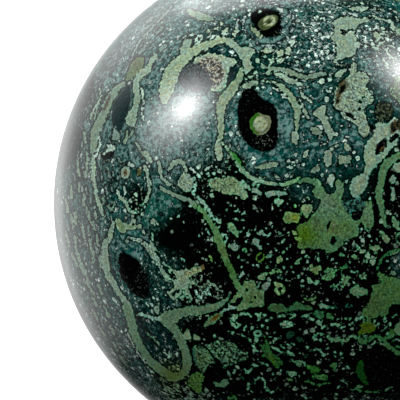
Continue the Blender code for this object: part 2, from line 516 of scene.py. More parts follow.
def draw_top_right(stone):
    """The boot-shaped patch, the big granular patch under it and the leaf with its dark cavities."""
    stone.patch(SAGE, [
        (332, 23), (338, 18.5), (348, 16), (356, 18), (360, 19), (365, 17), (368, 18), (368, 21), (362, 23),
        (357, 26), (356, 30), (354, 35), (356.5, 39), (355, 44), (356, 50), (355, 54), (348, 57),
        (340, 59.5), (335, 58), (337, 54), (336, 48), (337, 44), (331, 40), (331, 37), (334, 34), (335, 30),
        (334, 26)])
    stone.black([
        (340, 32), (341.5, 29), (346, 29.5), (351, 29), (356, 30.5), (351, 32), (347, 33), (345, 35),
        (341, 34.5)])
    stone.blobs(PALE, (350, 33, 2.2), (358, 45, 2.6), (366, 46, 2.2))
    stone.vein(SAGE, [1.5, 2.5, 2], [(335, 60), (337, 64), (342, 66), (346, 65)])
    stone.patch(SAGE, [(334, 76), (338, 72), (343, 69), (348, 70), (344, 73), (339, 77)])
    stone.blobs(
        PALE, (322, 81, 2.8), (330, 79, 2.2), (316, 18, 2.4), (327, 52, 2.6), (320, 34, 2), (323, 18, 1.6))
    stone.vein(SAGE, [2, 4, 4, 2], [(350, 9), (356, 8.5), (362, 9), (369, 8)])
    stone.streaks(
        SAGE, 1.9, (370, 16, 378, 18), (379, 18, 387, 21), (374, 35, 379, 40), (376, 41, 381, 45),
        (371, 46, 379, 50), (381, 29, 385, 32), (387, 20, 393, 23), (390, 27, 395, 30), (388, 34, 392, 37),
        (390, 10, 396, 12), (378, 9, 384, 11), (383, 39, 384, 42), (394, 16, 398, 18), (371, 55, 373, 57))
    stone.patch(SAGE, [
        (334, 98), (335, 90), (340, 84), (345, 79), (350, 74), (350, 68), (354, 62), (357, 66), (357, 71),
        (363, 72), (368, 76), (369, 81), (366, 86), (370, 93), (374, 98), (372, 103), (366, 106),
        (364, 111), (366, 117), (368, 124), (369, 129), (368, 136), (364, 138), (359, 133), (358, 127),
        (353, 122), (342, 117), (340, 111), (334, 108)], grain=0.62)
    stone.patch("#4a4632", [
        (341, 82), (346, 79), (348, 84), (345, 90), (341, 96), (336, 99), (337, 90)], grain=0.6)
    stone.patch("#3d3220", [(336, 97), (339, 96), (340, 101), (337, 105), (335, 103)], grain=0.6)
    for outline in (
        [(342, 86), (345, 82), (346, 85), (344, 90), (340, 95), (339, 92)],
        [(336.5, 99), (338.5, 98), (339, 101), (337, 103)],
        oval(365, 97, 2, 1.6),
        oval(360, 109, 2, 1.6),
        oval(360, 101.5, 2, 2.4),
        [(345, 111), (350, 113), (356, 118), (355, 121), (350, 118), (346, 115)],
        [(368, 124), (373, 126), (375, 130), (373, 134), (370, 130)],
    ):
        stone.black(outline)
    stone.patch("#84a693", [
        (371, 138), (376, 134), (377, 128), (376, 124), (380, 122), (386, 124), (390, 122), (394, 118),
        (400, 121), (404, 130), (400, 138), (395, 146), (390, 151), (385, 156), (380, 162), (376, 166),
        (372, 170), (369, 176), (367, 184), (363, 192), (357, 198), (351, 195), (350, 188), (352, 180),
        (357, 176), (363, 173), (366, 166), (364, 160), (364, 152), (366, 144)])
    stone.patch("#93ab97", [
        (376, 127), (386, 127), (388, 134), (384, 138), (378, 141), (372, 144), (374, 136)])
    stone.patch("#8ca389", [
        (369, 146), (373, 150), (372, 160), (368, 170), (364, 182), (358, 190), (356, 182), (366, 172),
        (367, 160)])
    stone.black([
        (383, 139), (387, 140), (386, 146), (384, 151), (380, 154), (376, 155), (375, 148), (378, 143)])
    stone.streaks("#5d4526", 1.3, (376, 147, 380, 148), (380, 148, 384, 147), (381, 149, 380, 152))
    stone.black([(390, 134), (396, 133), (400, 136), (394, 141), (390, 143)])
    stone.patch("#47523f", [
        (376, 106), (383, 102), (390, 105), (393, 111), (390, 117), (384, 121), (377, 119)], grain=1.0)
    stone.patch("#47442c", [
        (390, 128), (391, 123), (395, 120), (402, 121), (402, 130), (396, 132), (391, 135)], grain=1.0)
    stone.streaks(PALE, 1.7, (390, 136, 395, 133), (395, 133, 401, 130), (390, 122, 394, 118))
    stone.vein("#5a8460", [5, 7, 8, 7, 7, 6, 5, 2], [
        (402, 155), (396, 157), (389, 162), (384, 169), (382, 178), (380, 187), (379, 196), (381, 204),
        (382, 212), (384, 220), (386, 227)])
    stone.patch(SAGE, [(389, 182), (391, 176), (394, 175), (396, 180), (394, 184)])
    stone.streaks(SAGE, 4, (393, 189, 393, 199))
    stone.streaks(
        "#93ab9c", 2.2, (373, 43, 379, 49), (376, 33, 380, 38), (378, 38, 382, 45), (381, 28, 387, 32),
        (388, 20, 392, 24), (389, 9, 393, 11), (394, 17, 399, 21), (392, 25, 395, 29), (395, 29, 398, 34),
        (383, 33, 387, 35), (385, 48, 390, 57), (388, 45, 394, 48), (380, 53, 384, 61), (391, 57, 397, 65),
        (385, 63, 390, 69))
    stone.patch("#93a792", [(373, 31), (378, 31.5), (380, 35), (379, 39), (375, 38), (373.5, 34)])


def draw_giant_patch(stone):
    """The green patch with arms right of the middle, with the yellow patch beside it."""
    stone.vein("#507b59", [4, 5, 6, 6], [
        (300, 182), (305, 180), (312, 181), (317, 185), (320, 188), (323, 195)])
    stone.vein(MINT_GREEN, [1.5, 4], [(316, 177), (320, 185)])
    stone.patch("#5c8a5f", [
        (311.5, 190), (317, 188), (322, 187), (325, 192), (328, 195), (332, 194), (336, 190), (335, 182),
        (338, 180), (343, 183), (343.5, 190), (341, 197), (342, 203), (348, 211), (354, 219), (361, 215),
        (365, 203), (369, 201.5), (372.5, 203), (373, 212), (374, 221), (372, 227.5), (368, 228.5),
        (365, 229), (364.5, 226), (363, 223.5), (359.5, 223.5), (358, 227), (360.5, 233), (358, 235.5),
        (352, 238), (346, 241), (342.5, 242), (343, 245), (337, 249.5), (333, 252), (329, 253.5),
        (325, 252), (323, 249), (315, 249), (308, 248), (302, 249), (298, 248), (298, 241), (299, 235),
        (297.5, 231), (296.5, 227), (300, 224), (305, 222), (309, 219.5), (313, 215), (318, 209),
        (320, 203), (320, 199), (315, 196)], grain=0.3)
    stone.patch("#3b6f66", [
        (341, 202), (346, 199), (352, 200), (358, 198), (364, 201), (366, 204), (363, 212), (358, 217),
        (352, 217), (346, 211)], grain=0.9)
    for outline in (
        [(351, 215), (353, 211.5), (357, 211), (362, 210), (363, 213), (361, 217), (357, 220.5),
        (353, 219.5)],
        oval(328.8, 225, 2.2, 3.6, 20),
        oval(333, 241, 2.6, 5.2, 20),
    ):
        stone.black(outline)
    stone.blobs(PALE, (361, 229, 1.4), (333.5, 225, 1.2))
    stone.patch("#7a9f66", [
        (283, 218), (285, 212.5), (288, 211.5), (291, 212), (295, 213), (300, 214), (300, 218), (297, 222),
        (292, 223), (287, 223.5), (284, 221)], grain=0.3)
    stone.patch("#84a27c", [
        (301, 208), (304, 205), (309, 204), (312, 206), (312, 210), (309, 214), (306.5, 218), (304.5, 215),
        (302, 213)], grain=0.25)
    stone.patch(MINT, [
        (274.5, 199), (276, 197.5), (279, 199), (283, 200), (283.5, 203), (280, 205), (278.5, 207),
        (276, 204.5), (274.5, 202)])
    stone.patch(SAGE, [
        (266, 193), (270, 191), (276, 191), (284, 191.5), (288, 193), (286, 195), (280, 195.5), (273, 195),
        (270, 198), (267, 197)])
    stone.patch(SAGE, [(252, 190), (258, 190), (262, 192), (261, 195.5), (257, 194), (252, 192.5)])
    stone.vein(MINT, [1.5, 2.2, 1.5], [(305, 197.5), (308, 198.5), (310, 201.5)])
    stone.patch(LIME, [(294, 204), (296, 205), (295, 208), (293.5, 207)])
    stone.vein(SAGE, 2, [(273, 173), (279, 178)])
    stone.vein(SAGE, 2, [(290, 178), (293, 175)])


def draw_middle(stone):
    """The bands and small patches between the large eye, the green vein and the giant patch."""
    stone.patch("#7d9b7e", [
        (208, 180), (215, 178), (223, 178), (230, 176), (238, 180), (242, 186), (246, 190), (247, 197),
        (243, 200), (236, 194), (228, 195), (220, 192), (212, 188)], grain=0.62)
    stone.vein(SAGE, [2, 3, 3, 2], [(240, 183), (247, 187), (255, 190), (260, 192)])
    stone.vein("#8fa79a", [2.2, 3.2, 3.2, 3.2, 2.2], [
        (194, 194), (200, 199), (207, 208), (212, 215), (219, 223)])
    stone.vein(DIM_SAGE, [3, 3.5, 4, 4], [
        (160, 187), (165, 190), (173, 194), (182, 198), (190, 201), (195, 207)])
    stone.vein("#5f8a58", [3.5, 4.5, 5, 6, 7, 7.5, 6.5, 6, 6, 5], [
        (194, 206), (202, 210), (208, 220), (213, 226), (216, 232), (218.5, 240), (221, 247), (224, 255),
        (227.5, 263), (231, 271), (235, 279), (238, 287)])
    stone.patch(MINT_GREEN, [
        (228, 226), (230, 222.5), (234, 225), (237, 229), (239, 232), (239.5, 235.5), (236, 237),
        (233, 234), (229.5, 231)], grain=0.4)
    stone.patch(SAGE, [
        (229, 246), (231, 244), (235, 244.5), (239, 245.5), (238, 249), (235.5, 250.5),
        (232, 249)], grain=0.35)
    stone.patch(SAGE, [
        (252.5, 240), (255, 238), (258, 239), (260, 242), (259, 245), (261.5, 247), (261, 250),
        (258.5, 249), (256, 245), (253, 243)], grain=0.3)
    stone.patch(SAGE, [(258, 232), (260, 230), (263, 231.5), (263.5, 234), (259.5, 235.5)])
    stone.ring(MINT_GREEN, 1.6, 244.8, 250.5, 2, 2)
    stone.ring("#7d9a45", 1.7, 260.3, 257.3, 4.4, 3.3, -40)
    stone.patch("#8fae7c", [
        (277.5, 256), (280, 255.5), (282.5, 258), (282, 262), (279, 263), (276, 264.8),
        (277, 261)], grain=0.35)
    stone.patch("#8aab78", [
        (271, 273), (273, 269.5), (276, 271), (280, 270), (281.5, 272), (277, 273.3), (273, 274.5)])
    stone.patch("#84a57c", [
        (257.5, 278), (260, 275), (261.5, 272), (264, 273), (268, 273), (266, 276), (265, 279),
        (261, 280)], grain=0.25)
    stone.patch(SAGE, [
        (262, 287), (264, 283), (267, 282), (271, 284), (269, 287), (268.5, 290.5), (263, 290)], grain=0.3)
    stone.patch("#94b27c", [
        (274.5, 282), (278, 282.5), (282, 284), (285, 287), (285, 291), (282.5, 295), (278.5, 295),
        (275.5, 292), (275.5, 287)], grain=0.2)
    stone.hole(oval(280.3, 290, 1.9, 2.6, -10))
    stone.patch("#6d8f5a", [
        (303, 294.5), (304.5, 297.5), (309, 299), (313.5, 297.5), (318.5, 294), (315, 299), (311, 301),
        (306, 300.5), (303.5, 298)])
    stone.patch(DIM_SAGE, [(278, 232), (280, 232.5), (284, 235), (283.5, 237), (279, 235)])
    stone.patch(MINT, [(280, 243.5), (282, 240.5), (285.5, 239.5), (284, 242), (281, 245)])
    stone.patch(CREAM, [(294.5, 237.5), (297, 236.5), (300, 239), (300, 241), (297, 240)])
    stone.vein(MINT, [1.5, 2.3, 1.5], [(299, 260), (303, 257), (307, 256), (309.5, 257.5)])
    for colour, width, line in (
        (SAGE, 2, [(236, 219), (243, 219.6)]),
        (SAGE, 1.9, [(242, 231.5), (245, 227.5)]),
        (DIM_SAGE, 1.7, [(252.5, 224.8), (257, 225.5)]),
        (PALE, 2, [(263, 235), (267, 236)]),
        (SAGE, 1.9, [(267, 256.7), (273, 255)]),
        (DULL_SAGE, 1.6, [(278, 277), (282, 278)]),
        (SAGE, 2, [(254.5, 289.5), (260, 283)]),
        (MINT, 2.1, [(317.2, 254.5), (318.3, 260)]),
        (MINT, 2, [(298.5, 274), (298.5, 278)]),
        (SAGE, 1.8, [(208, 231), (209.3, 234.5)]),
    ):
        stone.vein(colour, width, line)
    stone.blobs(
        PALE, (234.8, 211, 1.1), (238.5, 209, 1), (240, 211.7, 1.1), (242.8, 214, 1.2), (244.7, 211.5, 1.1),
        (248.3, 234, 1.9), (270, 233.5, 1.3), (266, 229, 1.1), (273.5, 244, 1.1), (238.8, 257, 1.5),
        (243.3, 260, 1.6), (253.5, 265.5, 1.2), (258, 265.5, 1.5), (240.5, 267, 1.2), (242, 273.5, 2),
        (248.5, 275.5, 1.1), (239.5, 278, 1.5), (294, 271.5, 1.3), (286, 280, 1), (302, 281, 1.8),
        (302.5, 286.7, 2), (222.5, 234, 1.4), (226, 235.5, 1.2), (219.5, 226.5, 1.2), (199.5, 236, 1.4),
        (199, 252.5, 1.1), (182, 259, 1.4), (184, 261, 1.5), (225, 241, 1.2), (227, 238, 1.3),
        (237, 243, 1), (246, 241, 1), (251, 230, 1), (255, 229, 1.1), (272, 227, 1), (288, 233, 1.1),
        (291, 246, 1.2), (287, 249, 1), (276, 249, 1), (268, 244, 1), (265, 262, 1), (271, 262, 1),
        (287, 259, 1.1), (289, 264, 1), (284, 268, 1.1), (276, 267, 1), (308, 262, 1.1), (304, 269, 1.2),
        (305, 275, 1))
    stone.blobs(MINT_GREEN, (297.5, 262.5, 2.2), (267.5, 267.3, 2), (292.3, 267, 1.7), (283.5, 252, 1.3))
    stone.blobs(MINT, (309, 279.5, 2.3), (311, 282.5, 1.7), (316.8, 283.2, 2.7))
    stone.blobs(
        SAGE, (230, 145, 1.2), (227, 162, 1.5), (214, 174, 1.4), (209, 175, 1.3), (224, 176, 1.2),
        (243, 181, 1.3), (254, 184, 1.8), (258, 187, 1.8), (230, 168, 1.3), (236, 172, 1.3),
        (257, 174, 1.2), (260, 178, 1.2), (264, 178, 1.1), (224, 217, 1.2), (220, 221, 1.4),
        (226, 210, 1.2), (231, 205, 1.5))


def draw_below_the_giant_patch(stone):
    """Small patches, and the large green patch at the right edge."""
    stone.patch("#84a676", [
        (310, 264.5), (312, 264), (314, 266), (317, 266), (320, 265.5), (321, 268), (319, 271), (318, 274),
        (315, 274), (312, 271), (310, 268)], grain=0.35)
    stone.patch("#5f9c68", [
        (324, 270), (327, 267), (331, 268.5), (337.5, 270), (334, 273), (334.5, 277), (330, 280),
        (325, 280), (321, 279), (324, 275)], grain=0.85)
    stone.patch(MINT_GREEN, [
        (341, 272.5), (344.5, 275), (350, 277.5), (347, 281), (345, 287), (341.5, 285),
        (342, 279)], grain=0.75)
    stone.patch(MINT, [(350, 271), (353, 269.8), (358, 271.5), (359, 273.8), (353, 273)])
    stone.patch(MINT_GREEN, [
        (358.5, 276), (362, 273), (365.5, 273.5), (367.5, 276.5), (366, 279.5), (362, 279.5)], grain=0.7)
    stone.patch(LEAF, [(339.5, 267.5), (343, 266.5), (346, 263.5), (347.5, 267), (343, 269.5)], grain=0.5)
    stone.patch(MINT_GREEN, [
        (351, 256), (354, 254.5), (357.5, 256.5), (357.3, 259), (353, 258.5)], grain=0.2)
    stone.patch(MINT_GREEN, [(340, 254.3), (344, 253.8), (344.3, 256.5), (340.5, 257)])
    stone.patch(MINT, [(356, 244), (359, 245), (359.5, 248), (356.5, 249.3)])
    for grain, outline in (
        (0.0, [(359.5, 250.5), (362.5, 249), (365.8, 250.5), (363, 253), (360, 252.7)]),
        (0.3, [(366.3, 252), (369, 251.7), (370.3, 255.5), (368.5, 259.3), (365.8, 256.5)]),
        (0.3, [(363, 259), (366, 257.8), (366.8, 262), (363.3, 263)]),
        (0.0, [(369.3, 262.3), (371, 260), (375.7, 259.5), (375.2, 262.8), (371, 264.7)]),
    ):
        stone.patch("#93b095", outline, grain)
    stone.patch("#8dab84", [
        (368.8, 244.5), (372, 246.7), (375, 245), (379, 246.3), (379, 249.5), (377.3, 252.5), (376.6, 258),
        (374.3, 253), (373.6, 249.8), (370.8, 249)])
    stone.patch("#84a079", [
        (380.5, 229.2), (384, 232.5), (387.3, 236), (389.8, 239.5), (388.8, 244.8), (385.3, 243),
        (382, 238), (380, 233)])
    stone.patch(MINT_GREEN, [
        (349.5, 289), (354, 287), (357.3, 283.8), (360, 287), (364, 287.5), (367.5, 290.5), (366, 295),
        (358, 295), (352, 294)], grain=0.3)
    stone.patch("#568850", [
        (378, 271), (383, 274), (388, 275.5), (392, 277.5), (400, 280), (410, 284), (412, 300), (400, 304),
        (395, 304), (391, 306), (388, 310), (388, 314), (384, 316), (379, 316), (374, 318), (371, 320),
        (371, 323), (367, 323), (367, 318), (362, 315), (364, 309), (367, 305), (369, 300), (371, 295),
        (374, 290), (371.5, 286.5), (377, 284), (382, 283), (380, 279.5), (378, 276)], grain=0.35)
    stone.vein("#3a7747", [2.2, 2.6, 2.4, 2.2], [
        (376.5, 271), (378.5, 265), (382, 258.5), (387, 254), (394, 250.5), (402, 249)])
    stone.vein(SAGE_GREEN, [1.5, 2.6, 2], [(388.5, 255.5), (392, 253.5), (397, 252.5)])
    stone.patch(SAGE_GREEN, [
        (389.5, 267.5), (391.5, 270), (396, 272.3), (396, 275), (392, 275), (389.5, 272)])
    stone.ring(SAGE_GREEN, 2.3, 400.5, 238.5, 4, 5.5)
    stone.patch(SAGE_GREEN, [
        (391.5, 219), (394, 216.5), (396.5, 219), (399.5, 223.5), (398, 226), (401, 229.5), (397, 230),
        (394, 226), (392, 222.5)], grain=0.2)
    stone.blobs(
        PALE, (380.5, 221.5, 1.6), (390.5, 227, 1.3), (368.5, 230.5, 1.3), (368.8, 235.6, 1.9),
        (362.8, 241, 1.8), (377, 240, 1.1), (345.8, 243.8, 1.3), (332.5, 260, 1.2), (316.5, 258, 1),
        (387.5, 261, 1.4), (368.5, 268.5, 1.1), (350, 262, 1), (345, 249.5, 1.1), (352, 248, 1),
        (371, 240.5, 1), (359, 266, 1), (327, 258, 1), (336, 263, 1.1), (354, 282, 1.2), (338, 284, 1.3),
        (334, 289, 1.2), (372, 272, 1))
    stone.vein(MINT_GREEN, 2, [(330, 287), (334, 285.3), (338, 289)])
    stone.patch("#5f7f20", [
        (358, 333), (361, 329), (358.5, 326), (362, 324), (366.5, 322.5), (372, 323), (375.5, 327),
        (373, 331), (366, 333), (360, 335)])
    stone.patch(MINT_GREEN, [
        (394, 331), (396, 325), (398, 322), (404, 320), (406, 333), (400, 336), (396, 334)])
    stone.patch("#4d7e31", [(390, 332), (392, 329), (394, 331), (394, 334), (391, 335)])
    for width, line in (
        ([2, 2.5, 2.5], [(373, 338), (376, 336), (380, 337), (385, 339), (390, 336), (394, 335)]),
        ([2, 4, 5, 5, 5], [(376, 335), (384, 341), (390, 348), (396, 352), (402, 353)]),
        (2.2, [(393, 342), (397, 346), (401, 348)]),
    ):
        stone.vein(LEAF, width, line)
    stone.patch(LEAF, [(368, 338), (371, 336), (373, 338), (371, 341), (368, 341)])
    stone.patch(LEAF, [(358, 341), (361, 338), (365, 340), (367, 342), (364, 345), (360, 344)])
    stone.vein("#a7b79b", 1.5, [(370, 345), (374, 342.5), (379, 342), (382.5, 344)])
    stone.vein(MINT, 1.8, [(393, 317), (397, 314)])
    stone.vein(MINT, 1.8, [(360, 317), (363, 319), (364, 320)])
    stone.vein(PALE, 2, [(396, 340), (400, 340)])
    stone.vein(MINT_GREEN, [2.5, 4, 4, 4, 3, 2.5], [
        (328, 336), (330, 339), (334, 340), (338, 339), (342, 341), (346, 340), (349, 337), (354, 336),
        (358, 338)], grain=0.6)


def draw_bottom(stone):
    """The long streaks of the bottom of the photograph and the small rings and flakes under them."""
    stone.patch("#478356", [
        (268, 308), (270, 305), (274, 303.3), (280, 303.5), (284, 306), (286.5, 308), (291, 306.5),
        (294, 303.5), (297, 302), (300, 303.5), (303, 306), (308, 305.3), (311, 307), (312.3, 310),
        (306, 310.7), (300, 309.5), (293, 310.7), (286, 311), (280, 312.3), (273, 311.7)])
    stone.patch(MINT, [
        (318.5, 305.5), (322, 303.2), (325, 305), (330.5, 306), (330.5, 309), (325, 308.7),
        (320.5, 308)], grain=0.25)
    stone.vein("#579f7f", 2.5, [(328, 307), (336, 307)])
    stone.vein("#35685c", 3, [(346, 306), (352, 306)])
    stone.patch("#3f8052", [
        (313.3, 312), (318, 311.3), (323, 312), (324.3, 316), (321.5, 319.5), (318, 318),
        (315, 315.5)], grain=0.6)
    stone.patch(MINT, [(316, 322), (319, 320), (322, 322), (321.3, 326), (317.5, 324.3)])
    stone.patch(LEAF, [(326, 315), (329, 313), (332, 314), (333, 318), (333, 321), (330, 318), (327, 318)])
    for width, line in (
        (2.2, [(307.5, 316.5), (310, 318), (313, 320)]),
        (1.7, [(303, 316.5), (306, 315.5), (309, 314.7)]),
        (2, [(240, 315), (242, 313.2), (244, 314.5)]),
        (2.4, [(246, 314.2), (249, 314.8), (251, 316)]),
        (2.4, [(256.5, 314), (258.5, 315.5), (259, 319)]),
        (2, [(258.5, 315.5), (261, 313.7)]),
        (2.2, [(263, 317), (264.3, 314.8), (267, 314.2)]),
        (2.4, [(266, 321), (269, 319.7), (272, 317.8)]),
        (1.8, [(241, 334.3), (244, 335.5), (246.5, 338), (251, 341.5)]),
        (1.8, [(277, 332), (274, 333.3)]),
        (2.2, [(273.3, 342), (275.5, 339), (280, 338.5)]),
        (2, [(272, 347), (275, 348.2), (279, 350.7)]),
        (2.3, [(288, 345), (291, 343.3), (294, 344.3)]),
        (2, [(245, 369), (248, 372.5), (252, 368)]),
        (2.4, [(253, 364.9), (257, 364.7)]),
        (1.9, [(255, 380), (258, 378.2), (262, 377.7), (263.8, 380)]),
        (1.8, [(313, 338), (315, 335), (319, 333.5), (323.5, 334.7)]),
        (1.8, [(319, 350), (322, 352.5), (325, 354.5)]),
        (2, [(340, 328), (344, 327)]),
        (2, [(322, 328), (325, 326), (327, 328), (329, 327)]),
        (1.6, [(279, 316.5), (282, 315), (284.5, 317)]),
        (1.8, [(289, 319), (291.5, 317.5), (293.5, 315)]),
        (1.8, [(265, 385), (267, 389), (270, 392), (273, 392)]),
        (1.7, [(283, 352.5), (286, 355)]),
    ):
        stone.vein(MINT, width, line)
    stone.patch(MINT, [
        (279.5, 323), (282, 322), (285, 320.5), (288, 322.5), (291.5, 320.7), (293.5, 324.5),
        (290.5, 326.5), (286, 328.3), (282.5, 327)], grain=0.6)
    stone.patch(MINT, [
        (231, 322.5), (234, 323.3), (237.5, 322), (240.5, 325.3), (236.5, 328.3), (233, 327.3)])
    stone.hole(oval(236.3, 324.8, 1.3, 1.1))
    stone.patch(MINT, [
        (230, 318.5), (232, 315), (237, 315.5), (237, 318.5), (233.5, 321), (230, 321)], grain=0.7)
    stone.ring(MINT, 2.3, 257.6, 333.5, 3.2, 2.4)
    stone.patch(MINT, [
        (250, 343.3), (253, 344.8), (256, 348.3), (257.7, 352.7), (253.3, 352.3), (253, 348.3)], grain=0.2)
    stone.patch(FERN, [
        (264, 335.5), (266, 338), (268, 343), (270, 347.5), (272, 352), (275, 356), (279, 358),
        (283, 360.5), (282, 364.5), (279, 367.3), (275, 367.7), (273, 364), (270, 360), (266, 357.5),
        (262, 356), (264, 353), (262, 349), (260.3, 346), (264, 344), (265, 340)], grain=0.45)
    stone.vein("#4b8a1f", [1.5, 2.4, 2], [(268.5, 353), (272, 359), (276, 366)])
    for outline in (
        [(286, 334), (291, 331.5), (295, 334), (292, 337.5), (287, 338)],
        [(297, 338), (301, 336.5), (303, 340), (299, 342)],
        [(303.5, 357), (306, 354.5), (309, 354), (306.5, 358)],
        [(240, 377), (243, 376.5), (244.5, 379), (241.5, 380.5)],
    ):
        stone.patch("#1d4d36", outline, grain=0.5)
    stone.patch(MINT, [(286, 350), (290, 351), (293.5, 353), (293.3, 356.3), (289.5, 354.7)], grain=0.6)
    stone.patch(SAGE_GREEN, [
        (289, 357.3), (293, 359.5), (296, 361), (301, 359), (302, 363), (299.5, 368), (297, 365.3),
        (293.5, 362.3)], grain=0.3)
    stone.patch("#3f8f3a", [
        (308, 365), (312, 365.7), (317, 366.3), (320.5, 369.5), (317.5, 373), (312, 373),
        (309, 369)], grain=0.7)
    stone.patch("#549a55", [
        (312, 376), (316, 375), (320, 376), (324, 373.7), (328, 377), (324, 380.3), (318, 379),
        (314, 380)], grain=0.75)
    stone.vein(LEAF, 2, [
        (304, 381.5), (309, 382.3), (314, 384.3), (319, 385.3), (324, 383.3), (330, 383.7)])
    stone.patch(MINT, [(286, 373), (289, 371), (293, 371.3), (296.3, 374), (293, 376.3), (288.3, 375.7)])
    stone.vein("#86a06c", 1.8, [(286, 379), (289, 378.8), (292.3, 381)])
    stone.patch(LEAF, [(331, 364), (335, 362), (338, 363), (336, 367), (335, 370), (332, 368)], grain=0.6)
    stone.patch(SAGE_GREEN, [
        (213, 383), (217, 382), (220, 384), (222, 381), (226, 379), (229, 381), (229, 384), (226, 386),
        (223, 388), (220, 387), (216, 386)])
    stone.vein(LEAF, 3, [(229, 399), (233, 396), (236, 399)])
    stone.blobs(
        MINT, (256, 339.8, 2.4), (233, 333.5, 1.7), (252.5, 327.5, 1.3), (256.5, 326.7, 1.2),
        (267.5, 328, 1.4), (262, 326, 1), (290.5, 314, 1.2), (286.5, 313.5, 1), (296, 316, 1.2),
        (228, 332, 1.1), (215, 336, 1.9), (305, 364, 1.8), (262.5, 364, 1.8), (267, 364.8, 1.4),
        (249, 385, 1.8), (254, 383.5, 1.7), (266, 382.7, 1.3), (265.5, 388, 1.2), (279, 387, 1.2),
        (248, 389, 1.2), (252, 392, 1.1), (314.7, 338.7, 2), (320.5, 340, 1.7), (307.5, 347.5, 1.2),
        (310.5, 350.5, 1.3), (315, 350, 1.2), (246, 325.5, 1), (249, 331, 1), (244, 329, 1.1),
        (270, 337, 1), (261, 341, 1), (281, 345.5, 1), (284, 348, 1), (297, 349, 1), (300, 353, 1),
        (258.5, 358.5, 1.2), (281, 371, 1), (273, 373, 1.1), (268, 371.5, 1), (283, 383, 1.1),
        (275, 378, 1), (290, 386.5, 1.1), (296, 381, 1), (299, 376, 1), (333, 325, 1.9), (338, 325, 1.8),
        (341, 323, 1.4), (338, 319, 1.2), (346, 319, 1.3), (350, 318, 1.2), (350, 325, 1.6),
        (353, 324, 1.8), (357, 319, 1.8), (375, 321, 1.4), (378, 324, 1.6), (384, 319, 1.5),
        (385, 322, 1.3), (390, 324, 1.6), (386, 328, 1.3), (382, 331, 1.2), (387, 334, 1.1),
        (365, 336, 1.6), (323, 356, 1.3), (328, 348, 1.6), (334, 352, 1.5), (341, 354, 1.4),
        (342, 358, 1.4), (335, 356, 1.3), (343, 346, 1.1), (348, 368, 1.5), (360, 350, 1.2),
        (365, 357, 1.2), (385, 351, 1.4), (336, 394, 1.8), (339, 387, 1.6), (306, 398, 1.4),
        (395, 361, 1.2), (397, 378, 1.2))


def draw_corner_eye(stone):
    """The black eye at the bottom right, with a green crescent and thin lines around it."""
    stone.black(oval(378, 368, 23, 21))
    stone.patch("#1e6724", [
        (362, 360), (363.5, 364), (363, 369), (364.5, 374), (366.5, 379), (368, 384), (366.5, 385),
        (362, 382), (358.5, 377), (356, 371), (357, 366), (359, 362)])
    stone.vein(LEAF, 1.8, [
        (351, 391), (355, 389), (358, 390), (362, 391), (366, 391), (370, 392), (380, 391)])
    stone.vein(MINT_GREEN, 1.4, [(384, 391), (388, 389), (391, 387)])
    stone.vein(MINT_GREEN, 1.8, [(357, 385), (360, 387), (363, 387)])
    stone.vein(SAGE, 1.5, [(341, 380), (345, 382), (348, 385)])


